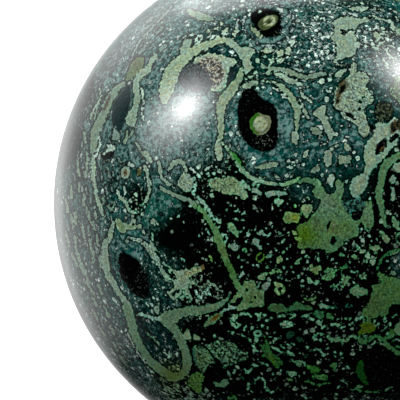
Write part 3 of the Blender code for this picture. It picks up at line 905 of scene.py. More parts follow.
def draw_left_side(stone):
    """The long dark eye left of the highlight, and the bands and streaks near the left rim."""
    stone.patch("#576c4c", [
        (130, 66), (134, 60), (139, 57), (144, 57), (144, 62), (142, 68), (137, 73), (131, 79), (126, 80),
        (128, 72)])
    stone.vein(SAGE, [4, 5, 7, 6, 5, 5], [
        (155, 55), (151, 63), (147, 70), (140, 75), (136, 82), (136, 90), (138, 98), (136, 106)])
    stone.patch(SAGE, [
        (136, 86), (139, 90), (140, 98), (138, 107), (137, 115), (135, 123), (132, 127), (128, 125),
        (126, 118), (129, 112), (133, 105)])
    stone.vein(PALE, 1.9, [(141, 87), (143, 95), (143, 104), (142, 112), (143, 120)])
    stone.vein(DIM_SAGE, [3, 6, 7, 7, 8, 9, 9, 7, 5], [
        (125, 82), (118, 88), (113, 94), (108, 105), (104, 114), (99, 124), (95, 132), (94, 142),
        (92, 151)])
    stone.patch("#444239", [
        (111, 95), (107, 97), (104, 104), (102, 111), (105, 110), (109, 102)], grain=0.6)
    stone.vein(SAGE, [3, 4, 4, 3, 3, 4, 3], [
        (93, 157), (94, 166), (93, 176), (95, 187), (97, 197), (100, 207), (103, 214)], grain=0.45)
    for colour, line in (
        (SAGE, [(100, 89), (100.5, 96), (99, 102), (95, 107), (92, 113), (91, 120)]),
        (DIM_SAGE, [(98, 105), (96, 111), (95, 119)]),
        (PALE, [(99, 137), (100, 144), (97.5, 151), (95.5, 158)]),
        (DIM_SAGE, [(86.5, 153), (87.5, 160), (86.5, 168), (86, 178)]),
        (DULL_SAGE, [(130, 60), (140, 41), (154, 26), (164, 15), (172, 6)]),
        (DIM_SAGE, [(110, 92), (106, 99), (102, 108)]),
    ):
        stone.vein(colour, 1.9, line)
    stone.patch("#12292c", [
        (128, 86), (125, 91), (120, 97), (116, 103), (113.5, 110), (113, 118), (114, 125), (117, 129),
        (120.5, 128), (123, 123), (125.5, 116), (127, 110), (128, 103), (129.5, 95)], grain=0.5)
    stone.black([(103, 152), (110, 152), (114, 150), (113, 156), (107, 159), (102, 158)])
    stone.patch(PALE, [
        (107, 145), (110, 144), (112, 145), (115.5, 145), (114.5, 150), (110, 151), (104, 154.5),
        (101.5, 155), (105, 151.5), (108, 149.5)])
    stone.patch("#748b82", [(115, 127), (117, 131), (120, 138), (115, 140), (112, 138)])
    stone.streaks(
        DIM_SAGE, 2.6, (127, 131, 127, 137), (127, 137, 124, 143), (133, 131, 129, 137),
        (136, 143, 140, 149), (142, 152, 149, 160), (84, 195, 84, 205), (87, 208, 89, 218),
        (89, 218, 95, 230), (108, 205, 111, 211), (111, 211, 114, 204), (103, 197, 104, 204),
        (75, 236, 77, 254), (77, 254, 86, 274), (80, 266, 88, 279), (93, 252, 93, 262), (95, 212, 96, 218),
        (75, 212, 76, 224), (84, 132, 86, 142), (77, 164, 80, 176), (71, 186, 72, 198), (79, 183, 79, 192),
        (66, 200, 68, 212), (71, 215, 73, 228), (66, 232, 69, 246), (82, 226, 84, 238), (90, 239, 91, 249),
        (97, 236, 98, 246), (100, 256, 101, 268), (86, 282, 94, 294), (92, 296, 97, 306),
        (72, 254, 77, 266), (98, 285, 102, 294), (93, 310, 97, 320), (104, 306, 109, 316),
        (99, 326, 105, 336), (113, 342, 118, 352), (120, 356, 127, 366), (110, 326, 114, 334))
    stone.streaks(
        DULL_SAGE, 1.8, (82, 141, 82, 148), (90, 160, 90, 168), (78, 152, 78, 160), (84, 170, 84, 178),
        (74, 172, 75, 180), (90, 196, 91, 204), (86, 187, 87, 195), (106, 186, 107, 194),
        (101, 172, 102, 180), (108, 168, 109, 177), (113, 172, 113, 180), (118, 176, 117, 184),
        (111, 184, 112, 192), (104, 162, 109, 160), (118, 158, 121, 163), (80, 240, 81, 246),
        (88, 226, 89, 232), (93, 220, 94, 226))
    stone.streaks(
        DULL_SAGE, 3, (147, 22, 152, 18), (157, 33, 163, 27), (140, 53, 146, 46), (160, 50, 166, 45))
    stone.patch(DIM_SAGE, [
        (187, 9), (195, 11), (203, 13), (211, 16), (213, 20), (205, 21), (197, 19), (190, 15)])


def draw_mid_left(stone):
    """The black spongy spot at the mid left, with brown caps and curls of sage."""
    stone.vein(SAGE, [1.5, 4, 4, 3, 2], [
        (140, 168), (144, 166), (147, 173), (149, 182), (149, 192), (146, 200), (141, 205)])
    stone.vein(PALE, 2, [(136, 213), (140, 211), (145, 207)])
    stone.patch(PALE, [(126, 163), (130, 162), (134, 166), (130, 167)])
    stone.ring(SAGE, 2.8, 125.5, 172.5, 3.2, 5, 10)
    stone.patch("#5f441d", oval(125.5, 173, 1.6, 3))
    stone.patch("#565a38", oval(139, 172, 2.2, 3.4))
    stone.streaks(
        SAGE, 3.5, (145, 152, 151, 161), (120, 197, 126, 203), (126, 203, 129, 209), (129, 210, 133, 212))
    stone.streaks(PALE, 2.2, (124, 186, 125, 195), (117, 190, 119, 195))
    stone.vein(SAGE, [3, 5, 5, 3, 3], [
        (169, 171), (172, 165), (176, 162), (181, 161), (185, 166), (187, 173)])
    stone.patch(SAGE, [
        (178, 180), (181, 175), (186, 173), (191, 176), (194, 180), (194, 186), (190, 191), (184, 191),
        (179, 186)], grain=0.6)
    stone.vein(PALE, 1.8, [(194, 178), (196, 183), (195, 189), (192, 193)])
    stone.vein(SAGE, [3, 4, 3, 3, 2.5], [(159, 162), (160, 169), (161, 175), (165, 181), (173, 187)])
    stone.vein(PALE, 1.9, [(190, 168), (194, 171), (200, 177), (203, 181)])
    stone.vein(PALE, 1.9, [(205, 170), (210, 167), (216, 166), (220, 169)])
    stone.patch("#7d9a7f", [
        (115, 220), (119, 219), (123, 222), (127, 224), (133, 225), (138, 225), (141, 224), (142, 227),
        (137, 229), (131, 229), (127, 230), (124, 233), (120, 232), (117, 227)])
    stone.patch("#6f8a66", [(118, 224), (122, 223), (125, 227), (123, 231), (120, 228)])
    stone.blobs(
        SAGE, (126, 218, 1.8), (133.5, 220.5, 2.6), (153, 221, 3), (144, 232, 2), (127, 241, 1.8),
        (212, 196, 2.2), (158, 224, 1.8))
    stone.blobs(PALE, (214, 174, 1.5), (208, 174, 1.5), (190, 206, 1.1), (161, 214, 1.1), (178, 217, 1.3))


def draw_lower_left(stone):
    """The tilted black eye at the lower left, its collar, and the lace and bands right of it."""
    stone.vein(SAGE, [3, 5, 6, 7, 7, 6, 5, 5, 6], [
        (114, 222), (112, 228), (109, 238), (105, 245), (105, 255), (106, 265), (108, 275), (113, 283),
        (117, 290), (120, 295), (128, 305), (130, 312)])
    stone.hole(oval(108.5, 238, 1, 2))
    stone.vein("#86a295", [2.5, 3, 4, 5, 6, 5, 4, 3], [
        (128, 237), (134, 239), (141, 241), (147, 247), (153, 254), (158, 261), (161, 268),
        (166, 277)], grain=0.75)
    stone.patch(SAGE, [
        (152, 232), (153.5, 236), (153, 242), (155, 247), (158.5, 252), (154, 250.5), (150.5, 246),
        (150.5, 240)])
    for line in (
        [(160, 268), (164, 272), (169, 276), (170, 270)],
        [(169, 276), (166, 280), (172, 282)],
        [(163, 262), (166, 267)],
        [(168, 292), (172, 297), (177, 300)],
        [(184, 293), (188, 298), (190, 293)],
        [(176, 293), (180, 297), (186, 296)],
    ):
        stone.vein(SAGE, [1.5, 2.3, 1.5], line)
    stone.black([
        (120, 253), (127, 253), (134, 257), (139, 262), (142, 267), (147, 273), (149, 280), (150, 288),
        (149, 295), (144, 299), (138, 297), (131, 291), (125, 284), (121, 277), (119, 268), (118, 260)])
    stone.patch("#869f88", [
        (178, 271), (183, 269.5), (188, 269.5), (190, 273), (189, 279), (188, 285), (185, 289), (180, 290),
        (176, 288), (174, 284), (177, 280), (176, 276)], grain=0.4)
    stone.vein("#93a583", [5, 6, 7, 5], [(187, 275), (192, 271.5), (197, 269.5), (201, 268.5)], grain=0.7)
    for line in (
        [(178, 283), (173, 280), (168, 279)],
        [(178, 287), (173, 290), (170, 294)],
        [(181, 288), (180, 293), (176, 297)],
        [(186, 287), (188, 293), (191, 298), (190, 302)],
        [(178, 274), (173, 271), (169, 267)],
        [(189, 281), (193, 283), (195, 280)],
    ):
        stone.vein("#869f88", [4, 3.2, 2], line, grain=0.35)
    stone.patch(PALE, [
        (194, 290), (197, 290.5), (200, 296), (203, 292), (206.5, 291), (207, 284.5), (209, 289),
        (210.5, 294.5), (207, 295), (204, 296.5), (201, 299.5), (197, 297)], grain=0.8)
    stone.patch("#7a5a34", [
        (200.5, 267), (203.5, 264.5), (205.3, 267), (203, 270.3), (201, 269.5)], grain=0.3)
    stone.vein("#8fa35c", [1.4, 2.2, 1.4], [(210, 255.5), (212, 258.5), (210.3, 261.5)])
    stone.patch("#688b6f", [
        (160, 320), (163, 312), (172, 310), (182, 308), (192, 306), (200, 306), (210, 304), (220, 301.3),
        (226, 297.3), (229.5, 294.5), (230, 297), (227, 302), (223.5, 305.7), (218, 309), (210, 312.3),
        (200, 315), (190, 316), (181, 318), (176, 324), (172, 331), (166, 327)], grain=0.1)
    stone.patch("#6f9468", [
        (244, 283), (247, 281), (254, 281), (256, 286), (259, 290), (263, 291), (264, 304.5), (257, 306.7),
        (250, 306.7), (246, 309), (240, 311), (236, 308), (240, 304), (243.5, 298), (241, 296), (235, 301),
        (230, 304.5), (229, 303), (234, 297), (240, 290)], grain=0.35)
    stone.black([(232, 305), (236, 300), (241, 296), (243, 299), (240, 305), (235, 307)])
    stone.ring("#55813c", 2, 250, 299, 3.2, 3)
    for x, y in ((255.5, 297), (251, 303), (246.5, 290)):
        stone.black(oval(x, y, 1.5, 1.8))
    stone.vein(PALE, [2, 3, 3], [(222, 312), (227, 309), (231, 307), (236, 308)])
    stone.patch("#668c68", [
        (204, 327), (205, 322.5), (209, 318), (214, 315), (220, 312.5), (223.5, 312.5), (222, 316),
        (217, 321), (211, 325)])
    stone.patch("#665016", [
        (209, 321), (212, 317.5), (217, 315), (220.5, 314.5), (218.5, 317.5), (213, 321)], grain=0.3)
    stone.vein("#6b8d72", [7, 9, 8, 7, 7, 7, 8, 9, 9, 8, 8, 9, 8, 8, 8, 9], [
        (126, 307), (130, 317), (133, 329), (137, 340), (142.5, 350), (149, 359), (157, 367), (166, 373.5),
        (175, 377), (183, 373.5), (187, 366), (187, 358), (184.5, 349), (180.5, 340), (175.5, 331),
        (170, 322)])
    stone.vein(PALE, 3, [(140, 314), (146, 316), (153, 318), (160, 319)])
    stone.patch(SAGE, [(153, 309), (156, 306), (159.5, 301), (159, 309), (158.5, 315), (155, 312)])
    stone.vein(PALE, 1.5, [(126, 329), (130, 338), (135, 348), (141, 357), (146, 364)])
    stone.patch("#84997c", [(183, 335), (188, 329.5), (190, 336), (192, 339.5), (186, 338.5)])
    stone.patch("#84997c", [(193, 335), (197, 335.5), (202, 339), (197, 340), (193, 338)])
    stone.vein(SAGE, 2, [(153, 337), (159, 345)])
    stone.vein(SAGE, 2, [(146, 332), (152, 337)])
    stone.patch("#5f8c66", [
        (193, 348), (197, 346), (203, 347), (208, 352), (213, 358), (216.5, 363), (210, 364), (206, 368),
        (205, 373), (201, 372), (197, 366), (194, 358)], grain=0.85)
    stone.vein("#34685c", 2, [(193.5, 349), (194.5, 357), (197, 365)])
    stone.patch("#558142", [
        (191, 376), (197, 372), (201, 374), (205, 378), (201, 384), (202.5, 391), (198, 394), (192, 389),
        (188, 383)], grain=0.65)
    stone.patch("#6aa07c", [
        (207, 346), (212, 343), (218, 341), (224, 341), (230, 342), (235, 344), (237, 347), (240, 350),
        (245, 352), (248, 355), (247, 359), (243, 361), (238, 362), (233, 364), (228, 366), (225, 369),
        (223, 366), (220, 361), (214, 356), (210, 351)], grain=1.0)
    stone.vein(SAGE, 1.5, [(228, 371), (230, 375), (234, 373), (235, 370)])


def draw_tints(stone):
    """Where iron turns the mineral olive, yellow or rusty."""
    for colour, strength, x, y, radius in (
        ("#5f9400", 0.95, 305, 235, 15), ("#a07c10", 0.5, 306, 227, 4), ("#8f8410", 0.5, 309, 241, 4),
        ("#7a7a20", 0.5, 334, 229, 7), ("#82a48a", 0.65, 327, 203, 12), ("#82a48a", 0.5, 340, 189, 7),
        ("#7aa07e", 0.5, 367, 214, 8), ("#4e8a5c", 0.6, 340, 243, 7), ("#8fa000", 0.9, 295, 217.5, 4),
        (OLIVE, 0.7, 317, 226, 8), (LEAF, 0.5, 310, 246, 10), (MOSS_YELLOW, 0.5, 345, 227, 6),
        (RUST, 0.3, 248, 66, 3), (OLIVE, 0.7, 277, 308, 6), ("#7a9a10", 0.4, 367, 328, 5),
        (OLIVE, 0.6, 373, 304, 8), (OLIVE, 0.5, 372, 313, 5), (OLIVE, 0.6, 269, 356, 4),
        (RUST, 0.4, 125, 173, 3), (RUST, 0.35, 136, 65, 5), (VIVID_GREEN, 0.6, 231, 266, 9),
        (OLIVE, 0.6, 225, 252, 6), (VIVID_GREEN, 0.25, 234, 157, 7), ("#6d8a2c", 0.8, 174, 373, 14),
        (RUST, 0.3, 381, 147, 3), (RUST, 0.3, 395, 128, 4), (OLIVE, 0.5, 201, 360, 5),
        (OLIVE, 0.5, 254, 296, 6), (OLIVE, 0.6, 309, 305, 5), ("#748c10", 0.7, 315, 270.5, 3),
        (OLIVE, 0.5, 230, 186, 10),
    ):
        stone.stain(colour, strength, x, y, radius)


# The ground between the markings, as soft spots: middle, radius, colour, and how thick with haze and flakes.
# Haze is grey dust, and painted sheen of the right lamp's reflection at 300, 15, at 375, 40 and at 377, 60.
GROUND_SPOTS = (
    (185, 25, 28, SLATE, 0.10, 0.35), (220, 20, 24, SLATE, 0.10, 0.5), (300, 15, 28, SLATE, 0.14, 0.75),
    (267, 22, 15, SLATE, 0.2, 0.0), (312, 45, 22, TEAL, 0.07, 0.9), (265, 58, 18, DEEP_TEAL, 0.03, 0.45),
    # The thick haze at 375, 40 and at 377, 60 is painted sheen, standing in for the right lamp's reflection.
    (375, 40, 28, TEAL, 0.13, 0.85), (377, 60, 13, SLATE, 0.55, 0.5), (395, 90, 20, TEAL, 0.03, 0.3),
    (345, 95, 25, DEEP_TEAL, 0.02, 0.45), (360, 60, 14, TEAL, 0.06, 0.3), (214, 70, 8, BLACK, 0.0, 0.05),
    (239, 60, 6, INDIGO, 0.02, 0.3), (234, 74, 6, INDIGO, 0.0, 0.05), (222, 91, 6, BLACK, 0.0, 0.8),
    (214, 49, 7, INDIGO, 0.03, 0.05), (198, 56, 7, DEEP_TEAL, 0.03, 0.5),
    (190, 76, 11, "#0c2226", 0.10, 0.03), (150, 60, 30, SLATE, 0.16, 0.4), (110, 100, 20, SLATE, 0.17, 0.3),
    # Dark flakeless spots at 85, 105, at 70, 145 and at 115, 60 are a painted reflection: the rim's dark
    # band.
    (85, 105, 16, "#0a120c", 0.03, 0.0), (70, 145, 14, "#0a120c", 0.01, 0.0),
    (115, 60, 14, "#10201a", 0.09, 0.05), (247, 31, 6, SLATE, 0.25, 0.03), (263, 43, 7, SLATE, 0.34, 0.03),
    (281, 40, 7, SLATE, 0.24, 0.03), (288, 22, 8, SLATE, 0.36, 0.03), (284, 8, 9, SLATE, 0.36, 0.05),
    (239, 36, 5, DEEP_TEAL, 0.02, 0.2), (245, 52, 5, DEEP_TEAL, 0.02, 0.3), (275, 97, 8, TEAL, 0.06, 0.05),
    (128, 150, 12, SLATE, 0.20, 0.1), (160, 105, 28, SLATE, 0.25, 0.2), (190, 135, 26, SLATE, 0.20, 0.35),
    (222, 130, 14, TEAL, 0.09, 0.35), (232, 110, 8, TEAL, 0.09, 0.2), (286, 124, 11, SLATE, 0.22, 0.02),
    (266, 143, 6, BLACK, 0.0, 1.0), (270, 160, 14, TEAL, 0.08, 0.05), (310, 112, 22, TEAL, 0.10, 0.35),
    (318, 145, 20, TEAL, 0.07, 0.25), (345, 130, 14, TEAL, 0.12, 0.1), (376, 182, 7, BLACK, 0.0, 0.2),
    (345, 175, 18, "#00332a", 0.01, 0.1), (390, 190, 14, BLACK, 0.0, 0.35), (380, 205, 10, BLACK, 0.0, 0.3),
    (300, 170, 14, DEEP_TEAL, 0.02, 0.25), (262, 200, 16, BLACK, 0.0, 0.2), (206, 180, 14, BLACK, 0.0, 0.5),
    (196, 196, 10, BLACK, 0.0, 0.2), (236, 168, 8, BLACK, 0.0, 0.35), (235, 215, 18, BLACK, 0.0, 0.2),
    (282, 235, 18, BLACK, 0.0, 0.2), (255, 260, 22, BLACK, 0.0, 0.3), (300, 275, 24, BLACK, 0.0, 0.3),
    (340, 270, 22, BLACK, 0.0, 0.38), (375, 238, 14, BLACK, 0.0, 0.45), (330, 320, 24, BLACK, 0.0, 0.5),
    (290, 345, 26, BLACK, 0.0, 0.35), (240, 330, 20, BLACK, 0.0, 0.2), (250, 380, 24, BLACK, 0.0, 0.25),
    (310, 380, 26, BLACK, 0.0, 0.3), (350, 350, 18, BLACK, 0.0, 0.3), (380, 330, 12, BLACK, 0.0, 0.45),
    (200, 250, 16, BLACK, 0.0, 0.4), (180, 240, 15, BLACK, 0.0, 0.02), (160, 206, 11, "#004a3c", 0.05, 0.1),
    (176, 229, 11, BLACK, 0.0, 0.05), (198, 292, 12, BLACK, 0.0, 1.0), (165, 272, 14, DEEP_TEAL, 0.02, 0.6),
    (160, 298, 12, DEEP_TEAL, 0.03, 0.45), (152, 340, 14, "#002a27", 0.01, 0.25),
    (165, 355, 10, DEEP_TEAL, 0.03, 0.8), (112, 162, 20, SLATE, 0.14, 0.4), (112, 195, 14, TEAL, 0.03, 0.4),
    (138, 198, 9, BLACK, 0.0, 0.6), (95, 230, 20, SLATE, 0.07, 0.45), (72, 200, 18, SLATE, 0.06, 0.25),
    (80, 270, 20, SLATE, 0.06, 0.4), (105, 300, 18, TEAL, 0.03, 0.5), (112, 340, 18, SLATE, 0.07, 0.6),
    (140, 385, 20, SLATE, 0.15, 0.6), (185, 395, 16, BLACK, 0.0, 0.9), (128, 240, 12, TEAL, 0.11, 0.15),
    (150, 170, 12, TEAL, 0.08, 0.3), (200, 345, 12, BLACK, 0.0, 0.25), (215, 372, 14, BLACK, 0.0, 0.1),
    (355, 307, 18, BLACK, 0.0, 0.1), (270, 296, 14, BLACK, 0.0, 0.12),
)


# The colour of the flakes on each ground, and on any other.
FLAKES_ON = {BLACK: "#93bc9f", DEEP_TEAL: "#a8cfbd", TEAL: "#bed6cb"}
FLAKES_ELSEWHERE = "#b6cac0"
# Far from every spot the ground is black with this share of flakes. Near one, that weighs next to nothing.
FAR_FLAKES = 0.4
FAR_WEIGHT = 1e-4

# What the photograph doesn't show: how many of each there are, how far apart they are at the least and how
# far from what it does show, in mm.
UNSEEN_SPOTS = (170, 6.0, 2.0)
UNSEEN_PATCHES = (640, 2.2, 0.6)
UNSEEN_VEINS = (70, 8.0, 5.0)
UNSEEN_ORBS = (17, 15.0, 5.5)
# The grounds that an unseen spot can have, with the haze of each.
UNSEEN_GROUNDS = ((SLATE, 0.10), (TEAL, 0.05), (DEEP_TEAL, 0.02), (BLACK, 0.0), (BLACK, 0.0))
# Their radii, a vein's step and where it starts, in pixels. A patch larger than LARGE_PATCH has a cavity.
SPOT_RADII = (16, 30)
ORB_RADII = (17, 28)
PATCH_RADII = (2, 2, 3, 3, 4, 5, 7, 10, 15)
LARGE_PATCH = 9
VEIN_STEP = 10
VEIN_START = -45.0
# The search for places gives up after so many tries for each.
TRIES = 40
SEED = 7


def spread_ground(stone, chance):
    """Blends the ground's spots, seen and unseen, into one colour and one thickness of haze and of flakes
    for each point. The colour's fourth value is the haze, grey dust that is painted sheen in places."""
    spots = [(towards_pixel(x, y), *rest) for x, y, *rest in GROUND_SPOTS]
    for direction in unseen_places(chance, *UNSEEN_SPOTS):
        colour, haze_and_sheen = UNSEEN_GROUNDS[chance.integers(len(UNSEEN_GROUNDS))]
        spots.append((direction, chance.uniform(*SPOT_RADII), colour, haze_and_sheen, chance.uniform(0.1, 0.6)))
    total = np.full(len(stone.directions), FAR_WEIGHT)
    colours = total[:, None] * np.array(linear(BLACK))
    flake_colours = total[:, None] * np.array(linear(MINT))
    flakes = total * FAR_FLAKES
    for direction, radius, colour, haze_and_sheen, thickness in spots:
        gap = np.sqrt(np.maximum(2 - 2 * stone.directions @ np.array(direction), 0)) * BALL_RADIUS_PX
        weight = np.exp(-(gap / radius) ** 2)
        total += weight
        colours += weight[:, None] * np.array(linear(colour)[:3] + [haze_and_sheen])
        flake_colours += weight[:, None] * np.array(linear(FLAKES_ON.get(colour, FLAKES_ELSEWHERE)))
        flakes += weight * thickness
    stone.ground = colours / total[:, None]
    stone.flake_ink = flake_colours / total[:, None]
    stone.flakes = flakes / total


def unseen_places(chance, count, spacing, beyond):
    """Random directions that the photograph doesn't show, no two closer than spacing and none closer than
    beyond to what it does show, both in mm."""
    found = []
    margin = beyond / MM_PER_PX
    for _ in range(count * TRIES):
        direction = chance.normal(size=3)
        direction /= np.linalg.norm(direction)
        x, y, facing = photo_pixels(direction[None])
        if facing[0] and -margin < x[0] < PHOTO_SIDE + margin and -margin < y[0] < PHOTO_SIDE + margin:
            continue
        if all(np.dot(direction, other) < math.cos(spacing / 1000 / RADIUS) for other in found):
            found.append(direction)
        if len(found) == count:
            break
    return found


def wavy_outline(chance, radius, stretch, points=11):
    """A lumpy closed outline around pixel 0, 0."""
    lumps = chance.uniform(0.65, 1.25, points)
    return [
        (radius * stretch * lumps[step] * math.cos(2 * math.pi * step / points),
         radius / stretch * lumps[step] * math.sin(2 * math.pi * step / points))
        for step in range(points)
    ]


def draw_unseen_orb(stone, chance, direction):
    """One black orb like those in the photograph, with its halo band and a disc or a green sliver in it."""
    stone.draw_around(direction, chance.uniform(0, 2 * math.pi))
    size = chance.uniform(*ORB_RADII)
    stretch = chance.uniform(1.0, 1.25)
    colour = (SAGE, DIM_SAGE, "#738f7b")[chance.integers(3)]
    gap = size * 1.45 + chance.uniform(2, 8)
    start = chance.uniform(0, 2 * math.pi)
    band = [
        (gap * stretch * math.cos(angle) * chance.uniform(0.93, 1.07),
         gap * math.sin(angle) * chance.uniform(0.93, 1.07))
        for angle in np.linspace(start, start + chance.uniform(3.5, 6.1), 14)
    ]
    stone.vein(colour, [2, chance.uniform(4, 8), chance.uniform(4, 8), 2], band, chance.uniform(0, 0.5))
    stone.black(wavy_outline(chance, size, stretch))
    if chance.random() < 0.6:
        x, y = chance.uniform(-0.2, 0.2, 2) * size
        stone.patch("#716f5a", oval(x, y, size * 0.36, size * 0.33))
        stone.vein(VIVID_GREEN, [2, 4, 2], [
            (x - size * 0.3, y - size * 0.25), (x - size * 0.4, y), (x - size * 0.3, y + size * 0.25)])
        stone.patch("#90a482", oval(x, y, size * 0.25, size * 0.27))
    else:
        stone.patch("#3b7a3c", [
            (-size * 0.7, -size * 0.3), (-size * 0.55, 0), (-size * 0.6, size * 0.5),
            (-size * 0.85, size * 0.2)])


def draw_unseen_vein(stone, chance, direction):
    """A wandering band, laid out step by step."""
    stone.draw_around(direction, chance.uniform(0, 2 * math.pi))
    heading = chance.uniform(-0.1, 0.1)
    bend = chance.uniform(-0.35, 0.35)
    x, y = VEIN_START, 0.0
    line = []
    for _ in range(chance.integers(7, 13)):
        line.append((x, y))
        heading += bend * 0.5 + chance.normal() * 0.12
        x += VEIN_STEP * math.cos(heading)
        y += VEIN_STEP * math.sin(heading)
    colour = (SAGE, DIM_SAGE, "#7d917a", "#738f7b")[chance.integers(4)]
    widths = [1.5, chance.uniform(3, 8), chance.uniform(3, 8), 1.5]
    stone.vein(colour, widths, line, chance.choice([0, 0, 0.6]))


def draw_unseen_patch(stone, chance, direction):
    """A patch of mineral, small more often than large. A large one has a cavity and a mossy stain."""
    stone.draw_around(direction, chance.uniform(0, 2 * math.pi))
    colour = (SAGE, SAGE, DIM_SAGE, "#97a892", "#78917f", "#7a9484", "#5f8464")[chance.integers(7)]
    size = chance.choice(PATCH_RADII)
    stone.patch(colour, wavy_outline(chance, size, chance.uniform(1, 1.6)), chance.choice([0, 0, 0.5, 0.9]))
    if size > LARGE_PATCH:
        stone.black(oval(size * 0.2, 0, 2.5, 3))
        stone.stain(MOSS_YELLOW, 0.6, -size * 0.4, 0, size * 0.7)


def draw_unseen_sides(stone, chance):
    """The patches first, then the bands over them and then the orbs."""
    for draw, places in (
        (draw_unseen_patch, UNSEEN_PATCHES), (draw_unseen_vein, UNSEEN_VEINS), (draw_unseen_orb, UNSEEN_ORBS)
    ):
        for direction in unseen_places(chance, *places):
            draw(stone, chance, direction)
    stone.draw_on_photo()


def draw_markings(directions):
    """All that is drawn on the ball. Each drawing lies over the ones before it."""
    chance = np.random.default_rng(SEED)
    stone = Markings(directions)
    spread_ground(stone, chance)
    draw_unseen_sides(stone, chance)
    for draw in (
        draw_left_side, draw_mid_left, draw_arch, draw_large_eye, draw_bands_right_of_the_large_eye,
        draw_top_right, draw_giant_patch, draw_middle, draw_below_the_giant_patch, draw_lower_left,
        draw_bottom, draw_corner_eye, draw_top_eye, draw_tints
    ):
        draw(stone)
    return stone


# What the mesh keeps of the markings for the material.
KEPT = ("pale", "hollow", "grain", "flakes", "ink", "flake_ink", "ground", "tint")


def add_values(mesh, name, values):
    """Keeps one number or colour for each point of the mesh."""
    kind = "FLOAT_COLOR" if values.ndim == 2 else "FLOAT"
    attribute = mesh.attributes.new(name, kind, "POINT")
    attribute.data.foreach_set("color" if values.ndim == 2 else "value", values.astype(np.float32).ravel())


def make_ball():
    """The ball with its markings, which rests on a small flat as the solid does."""
    directions, faces = cube_points()
    directions = crowd(directions)
    points = directions * RADIUS + np.array(CENTRE)
    points[:, 2] = np.maximum(points[:, 2], 0)
    mesh = bpy.data.meshes.new("jasper_ball")
    mesh.from_pydata(points.tolist(), [], faces.tolist())
    mesh.update()
    mesh.shade_smooth()

    stone = draw_markings(directions)
    for name in KEPT:
        add_values(mesh, name, getattr(stone, name))

    ball = bpy.data.objects.new("jasper_ball", mesh)
    bpy.context.scene.collection.objects.link(ball)
    mesh.materials.append(polished_jasper())
    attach(ball, "root")
    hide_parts("sphere")


def add(tree, kind, sockets=(), **settings):
    """Adds a node and returns its outputs. settings are its own choices. sockets gives its inputs their
    values or other nodes' outputs, in the inputs' order or by name or number. The inputs of a MapRange are
    the value, the two ends that it runs between and the two ends that these become."""
    node = tree.nodes.new("ShaderNode" + kind)
    for name, value in settings.items():
        setattr(node, name, value)
    for name, value in sockets.items() if isinstance(sockets, dict) else enumerate(sockets):
        if isinstance(value, bpy.types.NodeSocket):
            tree.links.new(value, node.inputs[name])
        else:
            node.inputs[name].default_value = value
    return node.outputs


# Fine patterns in the stone: how wide their lumps are in mm, and how far they are bent.
PATTERNS = {"clouds": (1.2, 0.0), "lumps": (0.5, 0.0), "nibbles": (0.3, 0.0), "specks": (0.22, 0.0),
            "chips": (0.42, 0.5), "grains": (0.32, 0.6)}
QUARTZ_IOR = 1.54
POLISH_ROUGHNESS = 0.09
DARK_GRAIN = "#08150f"
HOLLOW_SPECK = "#55635a"


def ragged_edge(tree, kept, pattern):
    """How deep a point lies in pale mineral, in mm, once lumps and nibbles have roughened its edge by up to
    0.1 mm or so."""
    lumps = add(tree, "Math", [pattern["lumps"]["Fac"], 0.5], operation="SUBTRACT")[0]
    nibbles = add(tree, "Math", [pattern["nibbles"]["Fac"], 0.5], operation="SUBTRACT")[0]
    small = add(tree, "Math", [nibbles, 0.55], operation="MULTIPLY")[0]
    both = add(tree, "Math", [lumps, 0.45, small], operation="MULTIPLY_ADD")[0]
    return add(tree, "Math", [both, kept["ink"]["Alpha"], kept["pale"]["Fac"]], operation="MULTIPLY_ADD")[0]


def ground_colour(tree, kept, pattern, speck, edge):
    """The dark ground: near black grains of 0.2 mm, under a haze with lumps of 0.3 to 1.2 mm where there is
    any, grey dust that is painted sheen where spots make it thick, and a dark seam beside every marking.
    Returns the colour and how dark a seam is."""
    seam_dark = add(tree, "MapRange", [kept["ground"]["Alpha"], 0.06, 0.22, 0.06, 0.1])[0]
    seam = add(tree, "MapRange", [edge, -0.24, -0.08, 1.0, seam_dark])[0]
    grains = add(tree, "MapRange", [speck[0], 0.36, 0.64, 0.6, 1.4])[0]
    clouds = add(tree, "MapRange", [pattern["clouds"]["Fac"], 0.38, 0.62, 0.55, 1.35])[0]
    shade = add(tree, "Math", [grains, clouds], operation="MULTIPLY")[0]
    bare = add(tree, "VectorMath", {0: kept["ground"]["Color"], "Scale": shade}, operation="SCALE")[0]

    # Most haze is dim, and a little of it reaches a third of the flakes' own lightness.
    coarse = add(tree, "Math", [pattern["lumps"]["Fac"], 0.5], operation="SUBTRACT")[0]
    fine = add(tree, "Math", [pattern["nibbles"]["Fac"], 0.5], operation="SUBTRACT")[0]
    small_steps = add(tree, "Math", [fine, 9.0], operation="MULTIPLY")[0]
    steps = add(tree, "Math", [coarse, 12.0, small_steps], operation="MULTIPLY_ADD")[0]
    bright = add(tree, "Math", [steps], operation="EXPONENT")[0]
    cloudy = add(tree, "Math", [bright, clouds], operation="MULTIPLY")[0]
    thickness = add(tree, "Math", [kept["ground"]["Alpha"], 1.35, 0.002], operation="MULTIPLY_ADD")[0]
    thick = add(tree, "Math", [cloudy, thickness], operation="MULTIPLY")[0]
    amount = add(tree, "MapRange", [thick, 0.012, 0.372, 0.0, 0.36])[0]
    # It is teal where it is thin and greyer where it is thick.
    greyness = add(tree, "MapRange", [amount, 0.0, 0.15])[0]
    hues = {0: greyness, 6: (0.4, 1.0, 1.1, 1), 7: (0.86, 1.0, 1.06, 1)}
    hue = add(tree, "Mix", hues, data_type="RGBA")[2]
    tone = add(tree, "VectorMath", [kept["flake_ink"]["Color"], hue], operation="MULTIPLY")[0]
    haze_and_sheen = add(tree, "VectorMath", {0: tone, "Scale": amount}, operation="SCALE")[0]
    with_haze_and_sheen = add(tree, "VectorMath", [bare, haze_and_sheen], operation="ADD")[0]
    return add(tree, "VectorMath", {0: with_haze_and_sheen, "Scale": seam}, operation="SCALE")[0], seam_dark


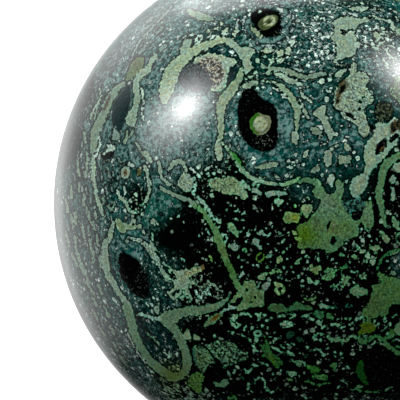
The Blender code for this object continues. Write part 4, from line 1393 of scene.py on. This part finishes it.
def scattered(tree, place, spacing, share, smallest, largest):
    """How far inside a roundish speck a point lies, in mm. A share of the specks is there, and their radii
    run from smallest to largest spacings."""
    cells = add(tree, "TexVoronoi", {"Vector": place, "Scale": 1 / spacing, "Randomness": 1.0})
    dice = add(tree, "SeparateColor", {"Color": cells["Color"]})
    there = add(tree, "Math", [dice[0], share], operation="LESS_THAN")[0]
    size = add(tree, "MapRange", [dice[1], 0.0, 1.0, smallest, largest])[0]
    radius = add(tree, "Math", [size, there], operation="MULTIPLY")[0]
    inside = add(tree, "Math", [radius, cells["Distance"]], operation="SUBTRACT")[0]
    return add(tree, "Math", [inside, spacing], operation="MULTIPLY")[0]


def lay_flakes(tree, kept, pattern, in_mm, edge, ground, seam_dark):
    """The ground with its flakes, in clumps where it is thick with them: ragged chips 0.2 to 0.6 mm across,
    dots of 0.1 to 0.3 mm and pebbles of 0.3 to 0.7 mm, each with a dark seam."""
    clumping = add(tree, "MapRange", [pattern["clouds"]["Fac"], 0.4, 0.6, 0.6, 1.4])[0]
    clumps = add(tree, "Math", [kept["flakes"]["Fac"], clumping], operation="MULTIPLY")[0]
    chip_floor = add(tree, "MapRange", [clumps, 0.0, 1.0, 0.74, 0.535])[0]
    chip_over = add(tree, "Math", [pattern["chips"]["Fac"], chip_floor], operation="SUBTRACT")[0]
    chip = add(tree, "Math", [chip_over, 0.8], operation="MULTIPLY")[0]
    bend = [pattern["nibbles"]["Color"], (0.5, 0.5, 0.5), in_mm]
    bent = add(tree, "VectorMath", bend, operation="MULTIPLY_ADD")[0]
    dot = scattered(tree, bent, 0.5, clumps, 0.12, 0.34)
    pebble_share = add(tree, "Math", [clumps, 1.3], operation="MULTIPLY")[0]
    pebble = scattered(tree, bent, 0.9, pebble_share, 0.14, 0.38)
    smaller = add(tree, "Math", [chip, dot], operation="MAXIMUM")[0]
    depth = add(tree, "Math", [smaller, pebble], operation="MAXIMUM")[0]

    in_flake = add(tree, "MapRange", [depth, 0.0, 0.035])[0]
    clear_of_pale = add(tree, "MapRange", [edge, -0.08, -0.18])[0]
    clear_of_hollow = add(tree, "MapRange", [kept["hollow"]["Fac"], 0.1, -0.1])[0]
    clear = add(tree, "Math", [clear_of_pale, clear_of_hollow], operation="MULTIPLY")[0]
    flake = add(tree, "Math", [in_flake, clear], operation="MULTIPLY")[0]
    seam = add(tree, "MapRange", [depth, -0.11, -0.03, 1.0, seam_dark])[0]
    seamed = add(tree, "VectorMath", {0: ground, "Scale": seam}, operation="SCALE")[0]
    mottle = add(tree, "MapRange", [pattern["nibbles"]["Fac"], 0.35, 0.65, 0.7, 1.3])[0]
    dimness = add(tree, "MapRange", [pattern["lumps"]["Fac"], 0.4, 0.6, 0.45, 1.35])[0]
    light = add(tree, "Math", [mottle, dimness], operation="MULTIPLY")[0]
    colour = add(tree, "VectorMath", {0: kept["flake_ink"]["Color"], "Scale": light}, operation="SCALE")[0]
    return add(tree, "Mix", {0: flake, 6: seamed, 7: colour}, data_type="RGBA")[2]


def mineral_colour(tree, kept, pattern, speck, edge):
    """Pale mineral: softly mottled, warm and cool, with a minty rim and a few small dark pits, and coarse
    dark grains where it is granular."""
    inside = add(tree, "MapRange", [edge, 0.08, 0.18])[0]
    warmth = add(tree, "MapRange", [pattern["lumps"]["Fac"], 0.42, 0.58])[0]
    hue = add(tree, "Mix", {0: warmth, 6: (0.92, 1.0, 1.04, 1), 7: (1.1, 1.0, 0.82, 1)}, data_type="RGBA")[2]
    rimmed_hue = add(tree, "Mix", {0: inside, 6: (1.26, 1.32, 1.3, 1), 7: hue}, data_type="RGBA")[2]
    tinted = add(tree, "VectorMath", [kept["ink"]["Color"], rimmed_hue], operation="MULTIPLY")[0]
    roughness = add(tree, "MapRange", [kept["grain"]["Fac"], 0.0, 1.0, 2.2, 6.0])[0]
    contrast = add(tree, "Math", [roughness, kept["ink"]["Alpha"]], operation="MULTIPLY")[0]
    light = add(tree, "Math", [speck[0], 0.48], operation="SUBTRACT")[0]
    mottle = add(tree, "Math", [light, contrast, 1.0], operation="MULTIPLY_ADD")[0]
    lit = add(tree, "Math", [mottle, 0.25], operation="MAXIMUM")[0]
    slow = add(tree, "MapRange", [pattern["nibbles"]["Fac"], 0.35, 0.65, 0.7, 1.25])[0]
    both = add(tree, "Math", [lit, slow], operation="MULTIPLY")[0]
    shaded = add(tree, "VectorMath", {0: tinted, "Scale": both}, operation="SCALE")[0]
    pit = add(tree, "MapRange", [speck[2], 0.61, 0.68, 0.0, 0.75])[0]
    inner_pit = add(tree, "Math", [pit, inside], operation="MULTIPLY")[0]
    grain_floor = add(tree, "MapRange", [kept["grain"]["Fac"], 0.0, 1.0, 0.82, 0.47])[0]
    grain_over = add(tree, "Math", [pattern["grains"]["Fac"], grain_floor], operation="SUBTRACT")[0]
    in_grain = add(tree, "MapRange", [grain_over, 0.0, 0.04, 0.0, 0.95])[0]
    dark = add(tree, "Math", [inner_pit, in_grain], operation="MAXIMUM")[0]
    return add(tree, "Mix", {0: dark, 6: shaded, 7: linear(DARK_GRAIN)}, data_type="RGBA")[2]


def polished_jasper():
    """Kambaba jasper, opaque fine-grained quartz ground round and polished: deep colour under a wet-looking
    gloss, with sharp reflections and no depth of its own."""
    material = bpy.data.materials.new("polished_jasper")
    material.use_nodes = True
    tree = material.node_tree
    surface = tree.nodes["Principled BSDF"]
    surface.inputs["Roughness"].default_value = POLISH_ROUGHNESS
    surface.inputs["IOR"].default_value = QUARTZ_IOR

    place = add(tree, "TexCoord")["Object"]
    in_mm = add(tree, "VectorMath", {0: place, "Scale": 1000.0}, operation="SCALE")[0]
    kept = {name: add(tree, "Attribute", attribute_name=name) for name in KEPT}
    pattern = {
        name: add(tree, "TexNoise", {"Vector": in_mm, "Scale": 1 / width, "Detail": 3.0, "Distortion": bend})
        for name, (width, bend) in PATTERNS.items()
    }
    speck = add(tree, "SeparateColor", {"Color": pattern["specks"]["Color"]})
    edge = ragged_edge(tree, kept, pattern)
    ground, seam_dark = ground_colour(tree, kept, pattern, speck, edge)
    flaky_ground = lay_flakes(tree, kept, pattern, in_mm, edge, ground, seam_dark)
    mineral = mineral_colour(tree, kept, pattern, speck, edge)
    in_mineral = add(tree, "MapRange", [edge, -0.03, 0.04])[0]
    # On black ground a piece thins to deep green at its edge, where its red comes in later than its green.
    thinning = add(tree, "MapRange", [kept["ground"]["Alpha"], 0.0, 0.05, 1.0, 0.0])[0]
    delay = [thinning, (0.08, 0.0, 0.025), (0.045, 0.045, 0.045)]
    full_cover = add(tree, "VectorMath", delay, operation="MULTIPLY_ADD")[0]
    ends = {"Vector": edge, 7: (-0.02, -0.02, -0.02), 8: full_cover}
    cover = add(tree, "MapRange", ends, data_type="FLOAT_VECTOR")["Vector"]
    layers = {1: cover, 4: flaky_ground, 5: mineral}
    stone = add(tree, "Mix", layers, data_type="VECTOR", factor_mode="NON_UNIFORM")[1]

    # Hollows are black with grey specks where there are many flakes, and crumble at the edge.
    crumbling = [pattern["nibbles"]["Fac"], 0.9, kept["hollow"]["Fac"]]
    crumbs = add(tree, "Math", crumbling, operation="MULTIPLY_ADD")[0]
    in_hollow = add(tree, "MapRange", [crumbs, 0.39, 0.53])[0]
    beside = add(tree, "Math", [in_hollow, in_mineral], operation="SUBTRACT", use_clamp=True)[0]
    speck_level = add(tree, "Math", [kept["flakes"]["Fac"], 0.2, speck[1]], operation="MULTIPLY_ADD")[0]
    speckled = add(tree, "MapRange", [speck_level, 0.71, 0.77, 0.0, 0.8])[0]
    black = add(tree, "Mix", {0: speckled, 6: linear(BLACK), 7: linear(HOLLOW_SPECK)}, data_type="RGBA")[2]
    with_hollows = add(tree, "Mix", {0: beside, 6: stone, 7: black}, data_type="RGBA")[2]

    # Iron stains colour the mineral and leave the black ground black.
    lightness = add(tree, "RGBToBW", [with_hollows])[0]
    stain_light = add(tree, "Math", [lightness, 3.0], operation="MULTIPLY")[0]
    stain = add(tree, "VectorMath", {0: kept["tint"]["Color"], "Scale": stain_light}, operation="SCALE")[0]
    stained = add(tree, "Mix", {0: kept["tint"]["Alpha"], 6: with_hollows, 7: stain}, data_type="RGBA")[2]
    tree.links.new(stained, surface.inputs["Base Color"])
    return material


def towards(right, up, near):
    """A direction from the ball, given by how far right, up and near it is as the camera sees it."""
    return (TO_RIGHT * right + UPWARDS * up + TO_CAMERA * near).normalized()


def panel(tree, ray, middle, inner, outer, glow):
    """A round soft-edged panel of the studio: evenly bright up to inner and dark beyond outer. Like the
    width of a flash, these are distances between unit directions, nearly radians."""
    away = add(tree, "VectorMath", [ray, middle], operation="DISTANCE")["Value"]
    return add(tree, "MapRange", [away, outer, inner, 0.0, glow], interpolation_type="SMOOTHSTEP")[0]


def flash(tree, ray, middle, width, glow):
    """The bare middle of an umbrella flash, which fades by a factor e in each width."""
    away = add(tree, "VectorMath", [ray, middle], operation="DISTANCE")["Value"]
    fade = add(tree, "Math", [away, -1 / width], operation="MULTIPLY")[0]
    bright = add(tree, "Math", [fade], operation="EXPONENT")[0]
    return add(tree, "MapRange", [bright, 0.01, 1.0, 0.0, glow])[0]


def tent(tree, ray):
    """The white cloth behind the ball and to its left, brightest at the left and open straight behind."""
    near = add(tree, "VectorMath", [ray, TO_CAMERA], operation="DOT_PRODUCT")["Value"]
    behind = add(tree, "MapRange", [near, -0.08, -0.5], interpolation_type="SMOOTHSTEP")[0]
    open_end = add(tree, "MapRange", [near, -1.0, -0.85], interpolation_type="SMOOTHSTEP")[0]
    cloth = add(tree, "Math", [behind, open_end], operation="MULTIPLY")[0]
    straight_back = add(tree, "VectorMath", [ray, TO_CAMERA], operation="PROJECT")[0]
    aside = add(tree, "VectorMath", [ray, straight_back], operation="SUBTRACT")[0]
    outwards = add(tree, "VectorMath", [aside], operation="NORMALIZE")[0]
    to_left = towards(-0.99, -0.13, 0.0)
    leftness = add(tree, "VectorMath", [outwards, to_left], operation="DOT_PRODUCT")["Value"]
    share = add(tree, "MapRange", [leftness, 0.82, 1.0, 0.0, 1.05])[0]
    return add(tree, "Math", [cloth, share], operation="MULTIPLY")[0]


# How bright the room is between its lights.
ROOM_GLOW = 0.008


def light_the_room():
    """What surrounds the ball: a dim room with a white tent, three panels behind the ball, and two umbrella
    flashes with a soft panel round each. The camera sees it plain white."""
    world = bpy.data.worlds.new("studio")
    bpy.context.scene.world = world
    world.use_nodes = True
    tree = world.node_tree
    tree.nodes.clear()
    ray = add(tree, "TexCoord")["Generated"]
    room = add(tree, "Value")[0]
    room.default_value = ROOM_GLOW
    for light in (
        tent(tree, ray),
        panel(tree, ray, towards(-0.2, 0.25, -0.95), 0.15, 0.75, 0.8),
        panel(tree, ray, towards(-0.1, 0.84, -0.54), 0.33, 0.43, 2.6),
        panel(tree, ray, towards(-0.5, 0.66, -0.52), 0.10, 0.60, 1.6),
        flash(tree, ray, towards(-0.737, 0.594, 0.323), 0.085, 33),
        panel(tree, ray, towards(-0.83, 0.51, 0.23), 0.0, 0.38, 4.3),
        flash(tree, ray, towards(0.59, 0.79, 0.20), 0.085, 25),
        panel(tree, ray, towards(0.63, 0.745, 0.23), 0.0, 0.33, 3.8),
    ):
        room = add(tree, "Math", [room, light], operation="ADD")[0]
    seen = add(tree, "LightPath")["Is Camera Ray"]
    strength = add(tree, "Math", [seen, room], operation="MAXIMUM")[0]
    sky = add(tree, "Background", {"Color": (1, 1, 1, 1), "Strength": strength})[0]
    add(tree, "OutputWorld", {"Surface": sky})


# The fill lights: how far right, up and near each is as the camera sees it, and its watts.
FILL_LIGHTS = {
    "left_fill": (-0.75, 0.6, 0.3, 1.8), "right_fill": (0.55, 0.78, 0.3, 2.8),
    "front_fill": (-0.35, -0.05, 1.0, 2.0), "low_fill": (0.1, -0.6, 0.8, 0.8),
    "side_fill": (0.9, 0.15, -0.5, 3.0), "back_fill": (0.2, 0.4, -1.0, 4.0),
}
# How far each is from the ball and how wide it is, in metres.
FILL_DISTANCE = 0.9
FILL_WIDTH = 0.8


def fill_light(name, direction, watts):
    """A soft light that brightens the stone without showing in its polish."""
    data = bpy.data.lights.new(name, "AREA")
    data.size = FILL_WIDTH
    data.energy = watts
    light = bpy.data.objects.new(name, data)
    facing = direction.to_track_quat("Z", "Y").to_matrix().to_4x4()
    light.matrix_world = Matrix.Translation(CENTRE + direction * FILL_DISTANCE) @ facing
    light.visible_camera = False
    light.visible_glossy = False
    bpy.context.scene.collection.objects.link(light)


# The floor's width in metres, and its looks.
FLOOR_WIDTH = 4
FLOOR_WHITE = "#f2f2f0"
FLOOR_ROUGHNESS = 0.9
FLOOR_GLOW = 0.35


def lay_floor():
    """A white table top, which neither shows in the polish nor lights the stone."""
    bpy.ops.mesh.primitive_plane_add(size=FLOOR_WIDTH, location=(0, 0, 0))
    floor = bpy.context.object
    floor.name = "floor"
    material = bpy.data.materials.new("matt_white_paint")
    material.use_nodes = True
    surface = material.node_tree.nodes["Principled BSDF"]
    surface.inputs["Base Color"].default_value = linear(FLOOR_WHITE)
    surface.inputs["Roughness"].default_value = FLOOR_ROUGHNESS
    surface.inputs["Specular IOR Level"].default_value = 0.0
    surface.inputs["Emission Color"].default_value = (1, 1, 1, 1)
    surface.inputs["Emission Strength"].default_value = FLOOR_GLOW
    floor.data.materials.append(material)
    floor.visible_glossy = False
    floor.visible_diffuse = False


def make_studio():
    """The white floor and all the light, shown without a film look."""
    light_the_room()
    lay_floor()
    for name, (right, up, near, watts) in FILL_LIGHTS.items():
        fill_light(name, towards(right, up, near), watts)
    bpy.context.scene.view_settings.view_transform = "Standard"


add_camera()
make_studio()
make_ball()
